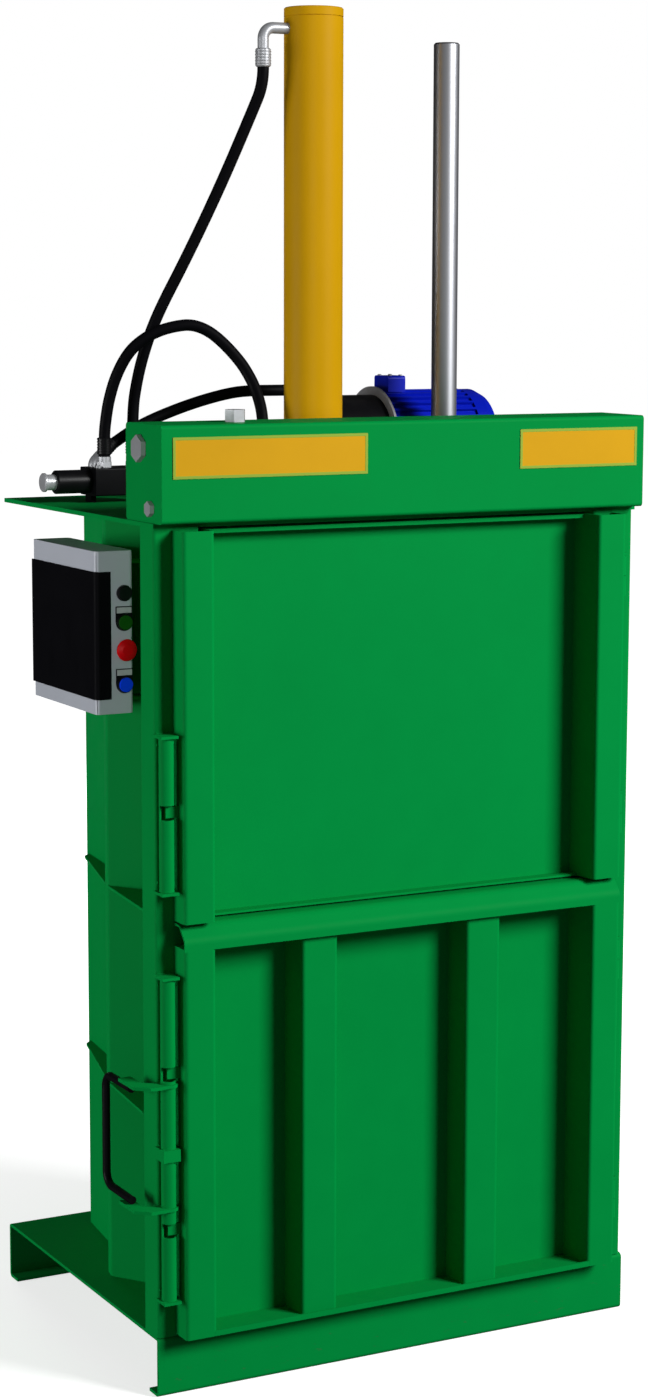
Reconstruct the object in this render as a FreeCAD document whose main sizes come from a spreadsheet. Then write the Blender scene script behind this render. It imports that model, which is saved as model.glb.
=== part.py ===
import FreeCAD, Part
import math
import os
import re

import Sketcher

# Vertical recycling baler, in millimetres. +X is to the machine's right seen from the front,
# +Y runs back into the machine and +Z is up. The origin is the centre of the underside of
# the base's front foot flange.

SIZES = {
    # Base: one sheet folded into a pan with in-turned feet.
    "base_width": 1000,
    "base_depth": 726,
    "base_height": 112,
    "base_sheet": 6,
    "foot_width": 40,
    "base_bend": 9,
    # Press chamber: two box posts, two tapered walls with a pressed rib, a back wall.
    "chamber_height": 1465,
    "post_width": 88,
    "post_depth": 61,
    "post_wall": 4,
    "post_bend": 6,
    "right_post_inset": 5,
    "wall_sheet": 4,
    "wall_inset": 74,
    "wall_taper": 0.125,
    "wall_length": 589,
    "wall_bend": 8,
    "wall_trim": 0.6,
    "rib_front": 280,
    "rib_crest_front": 343,
    "rib_crest_back": 372,
    "rib_back": 435,
    "rib_crest_inset": 57,
    "rib_crest_slant": 7,
    "gusset_sheet": 5,
    "gusset_low": 378,
    "gusset_high": 760,
    "gusset_post_inset": 24,
    "gusset_tail": 625,
    "gusset_tail_inset": 130,
    "gusset_tip": 642,
    "fit_gap": 0.1,
    # Top plate and head beam.
    "plate_sheet": 8,
    "plate_depth": 700,
    "beam_inset": 3,
    "beam_front": 30,
    "beam_depth": 151,
    "beam_height": 171,
    "beam_wall": 6,
    "beam_bend": 7,
    "beam_end": 5,
    "big_bolt_y": 58,
    "big_bolt_drop": 43,
    "big_bolt_radius": 12,
    "big_bolt_flats": 42,
    "big_bolt_head": 9,
    "small_bolt_y": 15,
    "small_bolt_drop": 146,
    "small_bolt_radius": 6,
    "small_bolt_flats": 24,
    "small_bolt_head": 8,
    "bolt_reach": 24,
    "bolt_gap": 0.4,
    "top_bolt_x": 180,
    "top_bolt_y": 45,
    "top_bolt_radius": 10,
    "top_bolt_flats": 34,
    "top_bolt_head": 22,
    "label_sheet": 1,
    "label_height": 72,
    "label_drop": 21,
    "left_label_inset": 24,
    "left_label_width": 382,
    "right_label_inset": 725,
    "right_label_width": 256,
    # Doors: folded panels hung at the right, lying over the posts.
    "door_inset": 36,
    "door_width": 916,
    "door_sheet": 4,
    "door_depth": 45,
    "door_bend": 7,
    "door_gap": 4,
    "door_post_gap": 0.5,
    "stile_width": 60,
    "stile_slope": 9,
    "panel_recess": 28,
    "lower_door_height": 760,
    "lip_drop": 8,
    "lip_height": 7,
    "mid_rail_height": 45,
    "mid_rail_lean": 23,
    "mid_rail_front": 19,
    "mid_rail_bend": 20,
    "sill_lip": 10,
    "door_rib_width": 72,
    "door_rib_recess": 13,
    "door_rib_slope": 5,
    "left_rib_inset": 276,
    "right_rib_inset": 621,
    # Hinges.
    "hinge_offset": 11,
    "hinge_front": 13,
    "knuckle_radius": 9.5,
    "knuckle_height": 38,
    "knuckle_gap": 1,
    "pin_radius": 5,
    "running_gap": 0.05,
    "pin_head": 4,
    "hinge_leaf": 4,
    "hinge_margin": 80,
    # Latches: slotted tubes turning on stubs in front of the left post.
    "latch_offset": 23,
    "latch_front": 20,
    "latch_radius": 13.5,
    "latch_bore": 10.5,
    "latch_wall_start": 65,
    "latch_wall_angle": 120,
    "latch_window": 26,
    "latch_end_gap": 0.3,
    "stub_reach": 14,
    "bracket_sheet": 5,
    "bracket_left": 17,
    "bracket_right": 16,
    "bracket_front": 18,
    "upper_latch_rise": 62,
    "upper_latch_length": 274,
    "upper_lug": 142,
    "lower_latch_rise": 78,
    "lower_latch_length": 591,
    "lower_lug_low": 131,
    "lower_lug_high": 419,
    "lug_height": 20,
    "lug_thickness": 6,
    "lug_reach": 3,
    "guide_rise": 260,
    "guide_height": 22,
    # Handle on the lower latch.
    "arm_low": 168,
    "arm_high": 395,
    "arm_sheet": 6,
    "arm_ring": 17,
    "arm_outer": 52,
    "arm_inner": 28,
    "arm_back": 52,
    "grip_radius": 7.5,
    "grip_bend": 24,
    "grip_out": 40,
    "grip_back": 135,
    "grip_start": 20,
    # Press cylinder.
    "cylinder_x": 495,
    "cylinder_y": 350,
    "barrel_radius": 56,
    "barrel_bore": 45,
    "barrel_length": 887,
    "cap_height": 18,
    "cap_spigot": 16,
    "cap_groove": 2,
    "flange_side": 180,
    "flange_sheet": 20,
    "flange_hole": 30,
    "flange_bolt_pitch": 140,
    "flange_bolt_radius": 8,
    "flange_bolt_flats": 24,
    "flange_bolt_head": 10,
    "gland_height": 45,
    "port_high_drop": 22,
    "port_low_rise": 20,
    "port_radius": 10.5,
    "port_bend": 20,
    "port_out": 106,
    "low_port_out": 106,
    "elbow_leg": 38,
    "low_elbow_leg": 31,
    "ferrule_radius": 14.5,
    "ferrule_height": 34,
    "ferrule_bore": 6,
    # Ram: press plate, piston rod and guide rod.
    "ram_top_gap": 15,
    "ram_front": 45,
    "ram_back": 644,
    "ram_front_inset": 100,
    "ram_back_inset": 160,
    "ram_sheet": 15,
    "ram_corner": 8,
    "ram_rib_height": 50,
    "ram_rib_width": 60,
    "ram_rib_sheet": 5,
    "ram_rib_length": 640,
    "ram_rib_offset": 130,
    "rod_radius": 28,
    "rod_foot_radius": 62,
    "rod_foot": 18,
    "piston_height": 60,
    "piston_top_gap": 8,
    "guide_x": 784,
    "guide_radius": 25,
    "guide_length": 946,
    "guide_chamfer": 3,
    "guide_foot_radius": 42,
    "guide_foot": 12,
    "bush_radius": 35,
    "bush_rim": 52,
    "bush_rim_height": 12,
    "bush_height": 60,
    "bush_below": 6,
    # Valve.
    "valve_inset": 104,
    "valve_width": 111,
    "valve_front": 490,
    "valve_depth": 76,
    "valve_height": 53,
    "valve_foot_height": 13,
    "valve_foot_width": 10,
    "valve_foot_margin": 24,
    "valve_edge": 3,
    "coil_radius": 22.5,
    "coil_length": 71,
    "coil_row": 35,
    "coil_rise": 27,
    "knob_radius": 18,
    "knob_width": 8,
    "knob_stem": 15,
    "knob_stem_length": 17,
    "port_row": 36,
    "port_left": 33,
    "port_right": 92,
    "fitting_radius": 14,
    "fitting_height": 20,
    "angle_port": 24,
    "angle_port_row": 64,
    "hose_radius": 11,
    # Power pack: motor, flange and oil tank on one axis along X.
    "pack_y": 500,
    "pack_rise": 104,
    "tank_length": 119,
    "tank_end": 704,
    "tank_radius": 92.5,
    "tank_round": 14,
    "pack_flange": 5,
    "pack_flange_radius": 109,
    "motor_length": 193,
    "motor_radius": 96,
    "fin_radius": 102,
    "fin_count": 36,
    "fin_width": 5,
    "cowl_length": 52,
    "cowl_radius": 101,
    "cowl_round": 26,
    "cowl_sheet": 2,
    "cowl_slot_ring": 62,
    "cowl_slot_radius": 7,
    "fan_radius": 78,
    "fan_hub": 22,
    "fan_width": 22,
    "fan_gap": 8,
    "shaft_radius": 12,
    "terminal_offset": 18,
    "terminal_width": 39,
    "terminal_depth": 57,
    "terminal_rise": 130,
    "terminal_bend": 6,
    "foot_spread": 75,
    "foot_rail": 30,
    "foot_offset": 36,
    "foot_length": 130,
    "pump_port": 27,
    "pump_port_rise": 104,
    "pump_port_reach": 34,
    # Control box and its buttons.
    "box_left": 17,
    "box_front": 215,
    "box_depth": 300,
    "box_base": 354,
    "box_height": 297,
    "box_wall": 2,
    "box_bend": 8,
    "cover_rise": 27,
    "cover_height": 233,
    "cover_sheet": 2,
    "cover_leg": 12,
    "cover_bend": 9,
    "box_margin": 14,
    "box_bracket_low": 22,
    "box_bracket_high": 272,
    "button_inset": 19,
    "black_button": 220,
    "green_button": 167,
    "red_button": 117,
    "blue_button": 53,
    "bezel_radius": 14.5,
    "bezel_proud": 6,
    "bezel_floor": 1.5,
    "bezel_sleeve": 11,
    "bezel_reach": 14,
    "cap_radius": 13.2,
    "cap_gap": 0.3,
    "cap_face": 5,
    "cap_proud": 4,
    "cap_stem": 7,
    "cap_back": 20,
    "mushroom_radius": 20,
    "mushroom_face": 12,
    "mushroom_stand": 9,
    "legend_width": 33,
    "legend_height": 29,
    "legend_sheet": 1.5,
    "legend_ring": 16,
    "contact_side": 26,
    "contact_depth": 34,
    "contact_gap": 7,
}

# Levels and lines that several pieces share, as expressions on the sizes.
LEFT = "(-base_width / 2)"
FRONT = "(-foot_width / 2)"
REAR = "(base_depth - foot_width / 2)"
CEILING = "(base_height + chamber_height)"
PLATE_TOP = "(base_height + chamber_height + plate_sheet)"
BEAM_TOP = "(base_height + chamber_height + plate_sheet + beam_height)"
POST_BACK = "(post_depth - foot_width / 2)"
WALL_BACK = "(post_depth + wall_length - foot_width / 2)"
LATCH_X = "(door_inset - latch_offset - base_width / 2)"
LATCH_Y = "(-latch_front - foot_width / 2)"
HINGE_X = "(door_inset + door_width + hinge_offset - base_width / 2)"
HINGE_Y = "(-hinge_front - foot_width / 2)"
PACK_Z = "(base_height + chamber_height + plate_sheet + pack_rise)"
UPPER_LATCH = "(base_height + door_gap + lower_door_height + upper_latch_rise)"
LOWER_LATCH = "(base_height + lower_latch_rise)"
UPPER_LUGS = ("upper_lug",)
LOWER_LUGS = ("lower_lug_low", "lower_lug_high")
DOOR_LOW = "(base_height + door_gap)"
DOOR_SPLIT = "(base_height + door_gap + lower_door_height)"
DOOR_HIGH = "(base_height + chamber_height - door_gap)"
FLANGE_TOP = "(base_height + chamber_height + plate_sheet + flange_sheet)"
BARREL_TOP = f"({FLANGE_TOP} + barrel_length)"
BOX_BASE = "(base_height + chamber_height - box_base)"
TANK_START = "(tank_end - tank_length)"
RAM_TOP = "(base_height + chamber_height - ram_top_gap - ram_rib_height)"


def across(distance):
    """Distance from the machine's left side, as an X in the part's frame."""
    return f"({distance} - base_width / 2)"


def behind(distance):
    """Distance back from the skirt's front face, as a Y in the part's frame."""
    return f"({distance} - foot_width / 2)"


def wall_x(distance):
    """X of the left wall's plain outer face at a distance behind the skirt."""
    return f"(wall_inset - base_width / 2 + wall_taper * ({distance} - post_depth))"


document = FreeCAD.newDocument("RecyclingBaler")
sheet = document.addObject("Spreadsheet::Sheet", "Sizes")
for row, (alias, number) in enumerate(SIZES.items(), start=1):
    sheet.set(f"A{row}", alias)
    sheet.set(f"B{row}", str(number))
    sheet.setAlias(f"B{row}", alias)
document.recompute()

nodes = []


def bound(expression):
    """The expression with every size named as a cell of the sheet."""
    def cell(word):
        return f"Sizes.{word.group()}" if word.group() in SIZES else word.group()
    return re.sub(r"[a-z_]+", cell, str(expression))


def value(expression):
    """The expression's number at the sheet's present sizes."""
    def number(word):
        return f"({getattr(sheet, word.group())})" if word.group() in SIZES else word.group()
    return FreeCAD.Units.Quantity(re.sub(r"[a-z_]+", number, str(expression))).Value


def bind(thing, **settings):
    """Bind properties to expressions on the sheet; __ in a name stands for a dot."""
    for name, expression in settings.items():
        thing.setExpression(name.replace("__", "."), bound(expression))
    return thing


def place(thing, at, rotation=None):
    """Turn a thing and bind its position."""
    if rotation is not None:
        thing.Placement = FreeCAD.Placement(FreeCAD.Vector(), rotation)
    bind(thing, Placement__Base__x=at[0], Placement__Base__y=at[1], Placement__Base__z=at[2])
    return thing


def node(thing, name):
    """Make a thing a sub-part under its own name."""
    thing.Label = name
    nodes.append(thing)
    return thing


def pin(sketch, geometry, point, corner):
    """Hold one sketch point at an expression's place."""
    spot = [value(number) for number in corner]
    for kind, expression, number in zip(("DistanceX", "DistanceY"), corner, spot):
        rule = Sketcher.Constraint(kind, -1, 1, geometry, point, number)
        place_held = sketch.addConstraint(rule)
        sketch.setExpression(f"Constraints[{place_held}]", bound(expression))


def draw_lines(sketch, corners, closed):
    """Straight lines through the corners, every corner held by the sheet."""
    spots = [FreeCAD.Vector(value(u), value(v), 0) for u, v in corners]
    first = sketch.GeometryCount
    count = len(corners) if closed else len(corners) - 1
    for index in range(count):
        ends = (spots[index], spots[(index + 1) % len(spots)])
        sketch.addGeometry(Part.LineSegment(*ends), False)
    for index in range(count if closed else count - 1):
        after = first + (index + 1) % count
        sketch.addConstraint(Sketcher.Constraint("Coincident", first + index, 2, after, 1))
    for index, corner in enumerate(corners):
        last = index == count
        pin(sketch, first + index - last, 2 if last else 1, corner)


def draw_circle(sketch, centre, radius):
    """A circle whose centre and radius are held by the sheet."""
    spot = FreeCAD.Vector(value(centre[0]), value(centre[1]), 0)
    circle = Part.Circle(spot, FreeCAD.Vector(0, 0, 1), value(radius))
    index = sketch.addGeometry(circle, False)
    pin(sketch, index, 3, centre)
    rule = sketch.addConstraint(Sketcher.Constraint("Radius", index, value(radius)))
    sketch.setExpression(f"Constraints[{rule}]", bound(radius))


def rectangle(left, right, low, high):
    """The corners of a rectangle."""
    return [(left, low), (right, low), (right, high), (left, high)]


def straight_edges(shape, direction, spots=None, reach=0.5):
    """Names of the straight edges along a direction, or only those through given spots."""
    names = []
    for number, edge in enumerate(shape.Edges, start=1):
        if edge.Curve.TypeId != "Part::GeomLine":
            continue
        if abs(abs(edge.Curve.Direction * direction) - 1) > 1e-6:
            continue
        foot = edge.Curve.Location
        if spots is None or any(
            (spot - foot).cross(direction).Length < reach for spot in spots
        ):
            names.append(f"Edge{number}")
    return names


NORMALS = {
    "XY": FreeCAD.Vector(0, 0, 1),
    "XZ": FreeCAD.Vector(0, -1, 0),
    "YZ": FreeCAD.Vector(1, 0, 0),
}
TURNS = {
    "XY": FreeCAD.Rotation(),
    "YZ": FreeCAD.Rotation(FreeCAD.Vector(1, 1, 1), 120),
}
UP = FreeCAD.Vector(0, 0, 1)
ALONG_X = FreeCAD.Rotation(FreeCAD.Vector(0, 1, 0), 90)
TO_FRONT = FreeCAD.Rotation(FreeCAD.Vector(1, 0, 0), 90)


def new_body(name):
    return document.addObject("PartDesign::Body", name.title().replace("_", ""))


def body_sketch(body, plane, start):
    """A sketch on one of the body's own planes, moved along its normal."""
    sketch = body.newObject("Sketcher::SketchObject", f"{body.Name}Sketch")
    own = [face for face in body.Origin.OriginFeatures if face.Role == f"{plane}_Plane"]
    sketch.AttachmentSupport = (own[0], [""])
    sketch.MapMode = "FlatFace"
    bind(sketch, AttachmentOffset__Base__z=start)
    return sketch


def prism(name, plane, corners, start, length, inner=(), holes=(), radius=None):
    """A padded outline with inner outlines, round holes and rounded outer corners."""
    body = new_body(name)
    base = f"-({start}) - ({length})" if plane == "XZ" else start
    sketch = body_sketch(body, plane, base)
    draw_lines(sketch, corners, True)
    for opening in inner:
        draw_lines(sketch, opening, True)
    for centre, hole_radius in holes:
        draw_circle(sketch, centre, hole_radius)
    pad = body.newObject("PartDesign::Pad", f"{body.Name}Pad")
    pad.Profile = sketch
    bind(pad, Length=length)
    document.recompute()
    if radius is not None:
        round_corners(body, pad, plane, corners, radius)
    return body


def lift(plane, corner):
    """A sketch corner as a point in space."""
    u, v = value(corner[0]), value(corner[1])
    spots = {"XY": (u, v, 0), "XZ": (u, 0, v), "YZ": (0, u, v)}
    return FreeCAD.Vector(*spots[plane])


def round_corners(body, feature, plane, corners, radius):
    """Round the edges that stand on an outline's corners."""
    spots = [lift(plane, corner) for corner in corners]
    fillet = body.newObject("PartDesign::Fillet", f"{body.Name}Fillet")
    edges = straight_edges(feature.Shape, NORMALS[plane], spots)
    fillet.Base = (feature, edges)
    bind(fillet, Radius=radius)
    document.recompute()


def turned(name, profile, at, rotation=None):
    """A lathe-turned piece: (radius, height) corners about an axis, then placed."""
    body = new_body(name)
    sketch = body_sketch(body, "XZ", "0")
    draw_lines(sketch, profile, True)
    feature = body.newObject("PartDesign::Revolution", f"{body.Name}Revolution")
    feature.Profile = sketch
    feature.ReferenceAxis = (sketch, ["V_Axis"])
    feature.Angle = 360
    document.recompute()
    return place(body, at, rotation)


def right_of(line, thickness):
    """A point half a sheet to the right of a path's first run."""
    ends = [vertex.Point for vertex in line.Shape.Edges[0].Vertexes]
    side = (ends[1] - ends[0]).normalize().cross(line.Placement.Rotation.multVec(UP))
    return (ends[0] + ends[1]) * 0.5 + side * (value(thickness) / 2)


def folded(name, plane, path, start, length, thickness, bends=(), bend=None, inner=None):
    """A sheet folded along a path, its thickness to the right of the path."""
    title = name.title().replace("_", "")
    line = document.addObject("Sketcher::SketchObject", f"{title}Path")
    line.Placement = FreeCAD.Placement(FreeCAD.Vector(), TURNS[plane])
    axis = {"XY": "z", "YZ": "x"}[plane]
    bind(line, **{f"Placement__Base__{axis}": start})
    draw_lines(line, path, False)
    section = document.addObject("Part::Offset2D", f"{title}Section")
    section.Source = line
    section.Mode = "Skin"
    section.Fill = True
    section.Join = "Intersection"
    bind(section, Value=thickness)
    document.recompute()
    if not section.Shape.isInside(right_of(line, thickness), 0.01, True):
        bind(section, Value=f"-({thickness})")
    solid = document.addObject("Part::Extrusion", f"{title}Sheet")
    solid.Base = section
    solid.DirMode = "Normal"
    solid.Solid = True
    bind(solid, LengthFwd=length)
    document.recompute()
    if not bends:
        return solid
    spots = [lift(plane, path[index]) for index in bends]
    edges = {edge: value(bend) for edge in straight_edges(solid.Shape, NORMALS[plane], spots)}
    if inner:
        reach = 1.5 * value(thickness)
        for edge in straight_edges(solid.Shape, NORMALS[plane], spots, reach):
            edges.setdefault(edge, value(inner))
    rounded = document.addObject("Part::Fillet", f"{title}Bends")
    rounded.Base = solid
    rounded.Edges = [(int(edge[4:]), radius, radius) for edge, radius in edges.items()]
    document.recompute()
    return rounded


def block(name, left, right, front, back, low, high):
    """A box between six bound faces."""
    box = document.addObject("Part::Box", name)
    spans = {"Length": (left, right), "Width": (front, back), "Height": (low, high)}
    for side, (near, far) in spans.items():
        box.setExpression(side, bound(f"({far}) - ({near})"))
    return place(box, (left, front, low))


def rod(name, radius, length, at, rotation=None, angle=None):
    """A cylinder with a bound radius, length and place."""
    cylinder = document.addObject("Part::Cylinder", name)
    bind(cylinder, Radius=radius, Height=length)
    if angle is not None:
        bind(cylinder, Angle=angle)
    return place(cylinder, at, rotation)


def hexagon(name, flats, length, at, rotation=None):
    """A hexagonal prism with a bound width across its flats."""
    head = document.addObject("Part::Prism", name)
    head.Polygon = 6
    bind(head, Circumradius=f"({flats}) / sqrt(3)", Height=length)
    return place(head, at, rotation)


def joined(name, *pieces):
    fusion = document.addObject("Part::MultiFuse", name)
    fusion.Shapes = list(pieces)
    return fusion


def cut(name, base, *tools):
    """The base with every tool taken out of it."""
    result = document.addObject("Part::Cut", name)
    result.Base = base
    result.Tool = tools[0] if len(tools) == 1 else joined(f"{name}Tools", *tools)
    return result


def group(name, *pieces):
    """Identical separate pieces that share one node."""
    compound = document.addObject("Part::Compound", name)
    compound.Links = list(pieces)
    return compound


def mirrored(name, source):
    """The piece's twin across the machine's middle."""
    twin = document.addObject("Part::Mirroring", name)
    twin.Source = source
    twin.Normal = FreeCAD.Vector(1, 0, 0)
    return twin


def rounded_path(points, radius=None):
    """Straight runs through the points joined by tangent arcs, and the arcs' radii."""
    spots = [FreeCAD.Vector(*[value(number) for number in point]) for point in points]
    edges = []
    radii = []
    start = spots[0]
    for before, corner, after in zip(spots, spots[1:], spots[2:]):
        inward = (corner - before).normalize()
        outward = (after - corner).normalize()
        half = inward.getAngle(outward) / 2
        shorter = min((corner - before).Length, (after - corner).Length)
        bend = radius or 0.45 * shorter / math.tan(half)
        tangent = bend * math.tan(half)
        arc_start = corner - inward * tangent
        arc_end = corner + outward * tangent
        middle = (outward - inward).normalize() * (bend / math.cos(half) - bend) + corner
        edges.append(Part.LineSegment(start, arc_start).toShape())
        edges.append(Part.Arc(arc_start, middle, arc_end).toShape())
        radii.append(round(bend))
        start = arc_end
    edges.append(Part.LineSegment(start, spots[-1]).toShape())
    return Part.Wire(edges), spots, radii


def tube(name, points, radius, bend=None, bore=None):
    """A round bar, pipe or hose along straight runs and tangent arcs."""
    path, spots, radii = rounded_path(points, value(bend) if bend else None)
    direction = spots[1] - spots[0]

    def sweep(size):
        ring = Part.Wire([Part.Circle(spots[0], direction, size).toShape()])
        return path.makePipeShell([ring], True, False)

    shape = sweep(value(radius))
    if bore is not None:
        shape = shape.cut(sweep(value(bore)))
    section = math.pi * (value(radius) ** 2 - (value(bore) if bore else 0) ** 2)
    print(name, "length", round(path.Length), "radii", radii, "volume ratio",
          round(shape.Volume / (section * path.Length), 3))
    piece = document.addObject("Part::Feature", name.title().replace("_", ""))
    piece.Shape = shape
    return piece


def build_base():
    """The pan: rear foot, rear skirt, top, front skirt, front foot in one fold line."""
    path = [
        (f"{FRONT} + foot_width", "0"),
        (FRONT, "0"),
        (FRONT, "base_height"),
        (REAR, "base_height"),
        (REAR, "0"),
        (f"{REAR} - foot_width", "0"),
    ]
    pan = folded("base_pan", "YZ", path, LEFT, "base_width", "base_sheet",
                 bends=(1, 2, 3, 4), bend="base_bend")
    node(pan, "base_pan")


def build_posts():
    """Two box posts on the pan's front edge."""
    sides = {
        "left_post": LEFT,
        "right_post": "(base_width / 2 - right_post_inset - post_width)",
    }
    for name, left in sides.items():
        outer = rectangle(left, f"{left} + post_width", FRONT, POST_BACK)
        inner = rectangle(
            f"{left} + post_wall", f"{left} + post_width - post_wall",
            f"{FRONT} + post_wall", f"{POST_BACK} - post_wall",
        )
        post = prism(name, "XY", outer, "base_height", "chamber_height",
                     inner=[inner], radius="post_bend")
        node(post, name)


def build_walls():
    """The tapered left wall with its pressed rib, its twin and the back wall."""
    crest = across("rib_crest_inset")
    path = [
        (wall_x("(post_depth + wall_trim)"), f"{POST_BACK} + wall_trim"),
        (wall_x("rib_front"), behind("rib_front")),
        (crest, behind("rib_crest_front")),
        (f"{crest} + rib_crest_slant", behind("rib_crest_back")),
        (wall_x("rib_back"), behind("rib_back")),
        (wall_x("(post_depth + wall_length)"), WALL_BACK),
    ]
    left = folded("left_side_wall", "XY", path, "base_height", "chamber_height",
                  "wall_sheet", bends=(2, 3), bend="wall_bend")
    node(left, "left_side_wall")
    node(mirrored("RightSideWall", left), "right_side_wall")
    corner = wall_x("(post_depth + wall_length)")
    back = prism("back_wall", "XY",
                 rectangle(corner, f"-{corner}", WALL_BACK, f"{WALL_BACK} + wall_sheet"),
                 "base_height", "chamber_height")
    node(back, "back_wall")


def build_gussets():
    """Horizontal plates that fill the pockets in front of and behind each wall rib."""
    crest = across("rib_crest_inset")
    front = [
        (across("gusset_post_inset"), POST_BACK),
        (f"{wall_x('post_depth')} - fit_gap", POST_BACK),
        (f"{wall_x('rib_front')} - fit_gap", behind("rib_front")),
        (f"{crest} - fit_gap", behind("rib_crest_front")),
    ]
    rear = [
        (f"{crest} + rib_crest_slant - fit_gap", behind("rib_crest_back")),
        (f"{wall_x('rib_back')} - fit_gap", behind("rib_back")),
        (f"{wall_x('gusset_tip')} - fit_gap", behind("gusset_tip")),
        (across("gusset_tail_inset"), behind("gusset_tail")),
    ]
    plates = [
        prism(f"{level}_{place_name}", "XY", outline, f"base_height + {level}", "gusset_sheet")
        for place_name, outline in (("front", front), ("rear", rear))
        for level in ("gusset_low", "gusset_high")
    ]
    left = group("LeftGussets", *plates)
    node(group("WallGussets", left, mirrored("RightGussets", left)), "wall_gussets")


def build_top_plate():
    """The plate that closes the chamber and carries the cylinder and power pack."""
    outline = rectangle(LEFT, f"-{LEFT}", FRONT, f"{FRONT} + plate_depth")
    holes = [
        ((across("cylinder_x"), behind("cylinder_y")), "flange_hole"),
        ((across("guide_x"), behind("cylinder_y")), "bush_radius + bolt_gap"),
    ]
    plate = prism("top_plate", "XY", outline, CEILING, "plate_sheet", holes=holes)
    node(plate, "top_plate")


def bolt(name, flats, head, radius, reach, at, rotation=None):
    """A hexagon bolt: head outward along the axis, shank behind it."""
    turn = rotation or FreeCAD.Rotation()
    cap = hexagon(f"{name}Head", flats, head, ("0", "0", "0"))
    shank = rod(f"{name}Shank", radius, reach, ("0", "0", f"-({reach})"))
    piece = joined(name, cap, shank)
    return place(piece, at, turn)


def build_beam():
    """The head beam: a box section closed by bolted end plates, with two label plates."""
    low = PLATE_TOP
    front = f"({FRONT} - beam_front)"
    back = f"({FRONT} - beam_front + beam_depth)"
    start = f"({LEFT} + beam_inset + beam_end)"
    outer = rectangle(front, back, low, BEAM_TOP)
    inner = rectangle(f"{front} + beam_wall", f"{back} - beam_wall",
                      f"{low} + beam_wall", f"{BEAM_TOP} - beam_wall")
    beam = prism("head_beam", "YZ", outer, start, f"-2 * {start}",
                 inner=[inner], radius="beam_bend")
    top_hole = rod("TopBoltHole", "top_bolt_radius + bolt_gap", "2 * beam_wall",
                   (across("top_bolt_x"), behind("top_bolt_y"), f"{BEAM_TOP} - beam_wall"))
    node(cut("DrilledBeam", beam, top_hole), "head_beam")
    big = (behind("big_bolt_y"), f"{BEAM_TOP} - big_bolt_drop")
    small = (behind("small_bolt_y"), f"{BEAM_TOP} - small_bolt_drop")
    holes = [(big, "big_bolt_radius + bolt_gap"), (small, "small_bolt_radius + bolt_gap")]
    ends = {"left_beam_end": f"({LEFT} + beam_inset)", "right_beam_end": f"-{start}"}
    plates = [
        prism(name, "YZ", outer, face, "beam_end", holes=holes, radius="beam_bend")
        for name, face in ends.items()
    ]
    node(group("BeamEnds", *plates), "beam_end_plates")
    bolts = [bolt("TopBolt", "top_bolt_flats", "top_bolt_head", "top_bolt_radius",
                  "bolt_reach", (across("top_bolt_x"), behind("top_bolt_y"), BEAM_TOP))]
    for kind, spot in (("big", big), ("small", small)):
        for side, sign in (("Left", ""), ("Right", "-")):
            turn = FreeCAD.Rotation(FreeCAD.Vector(0, 1, 0), 90 if sign else -90)
            bolts.append(bolt(f"{side}{kind.title()}Bolt", f"{kind}_bolt_flats",
                              f"{kind}_bolt_head", f"{kind}_bolt_radius", "bolt_reach",
                              (f"{sign}({LEFT} + beam_inset)", *spot), turn))
    node(group("BeamBolts", *bolts), "beam_bolts")
    labels = []
    for side in ("left", "right"):
        edge = across(f"{side}_label_inset")
        high = f"({BEAM_TOP} - label_drop)"
        plate = prism(f"{side}_label_plate", "XZ",
                      rectangle(edge, f"{edge} + {side}_label_width",
                                f"{high} - label_height", high),
                      f"{front} - label_sheet", "label_sheet")
        labels.append(plate)
    node(group("LabelPlates", *labels), "label_plates")


def door_path(rib_insets):
    """Front-face corners of a door's sheet, from its hinge side to its latch side."""
    front = f"({FRONT} - door_depth)"
    recess = behind("panel_recess")
    left = across("door_inset")
    right = across("door_inset + door_width")
    back = f"({FRONT} - door_post_gap)"
    ribs = []
    for name in rib_insets:
        foot = across(name)
        high = f"({front} + door_rib_recess)"
        ribs += [
            (f"{foot} - door_rib_slope", recess),
            (foot, high),
            (f"{foot} + door_rib_width", high),
            (f"{foot} + door_rib_width + door_rib_slope", recess),
        ]
    points = [
        (left, back),
        (left, front),
        (f"{left} + stile_width", front),
        (f"{left} + stile_width + stile_slope", recess),
        *ribs,
        (f"{right} - stile_width - stile_slope", recess),
        (f"{right} - stile_width", front),
        (right, front),
        (right, back),
    ]
    return points[::-1]


def build_upper_door():
    """Upper door: one folded panel with a lip under the beam and a foot flange."""
    low = f"({DOOR_SPLIT} + door_gap)"
    high = DOOR_HIGH
    path = door_path(())
    skin = folded("upper_door_panel", "XY", path, low, f"{high} - {low}", "door_sheet",
                  bends=(1, 2, 5, 6), bend="door_bend")
    inner_left = across("door_inset + stile_width + stile_slope - door_sheet")
    inner_right = across("door_inset + door_width - stile_width - stile_slope + door_sheet")
    recess = behind("panel_recess")
    lip_top = f"({high} - lip_drop + lip_height)"
    shelf = block("UpperShelf", inner_left, inner_right, FRONT, f"{recess} + door_sheet",
                  f"{lip_top} - door_sheet", lip_top)
    lip = block("UpperLip", inner_left, inner_right, FRONT, f"{FRONT} + door_sheet",
                f"{lip_top} - lip_height", lip_top)
    foot = block("UpperFoot", inner_left, inner_right, f"{FRONT} + door_sheet",
                 f"{recess} + door_sheet", low, f"{low} + door_sheet")
    node(joined("UpperDoor", skin, shelf, lip, foot), "upper_door_panel")


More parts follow.
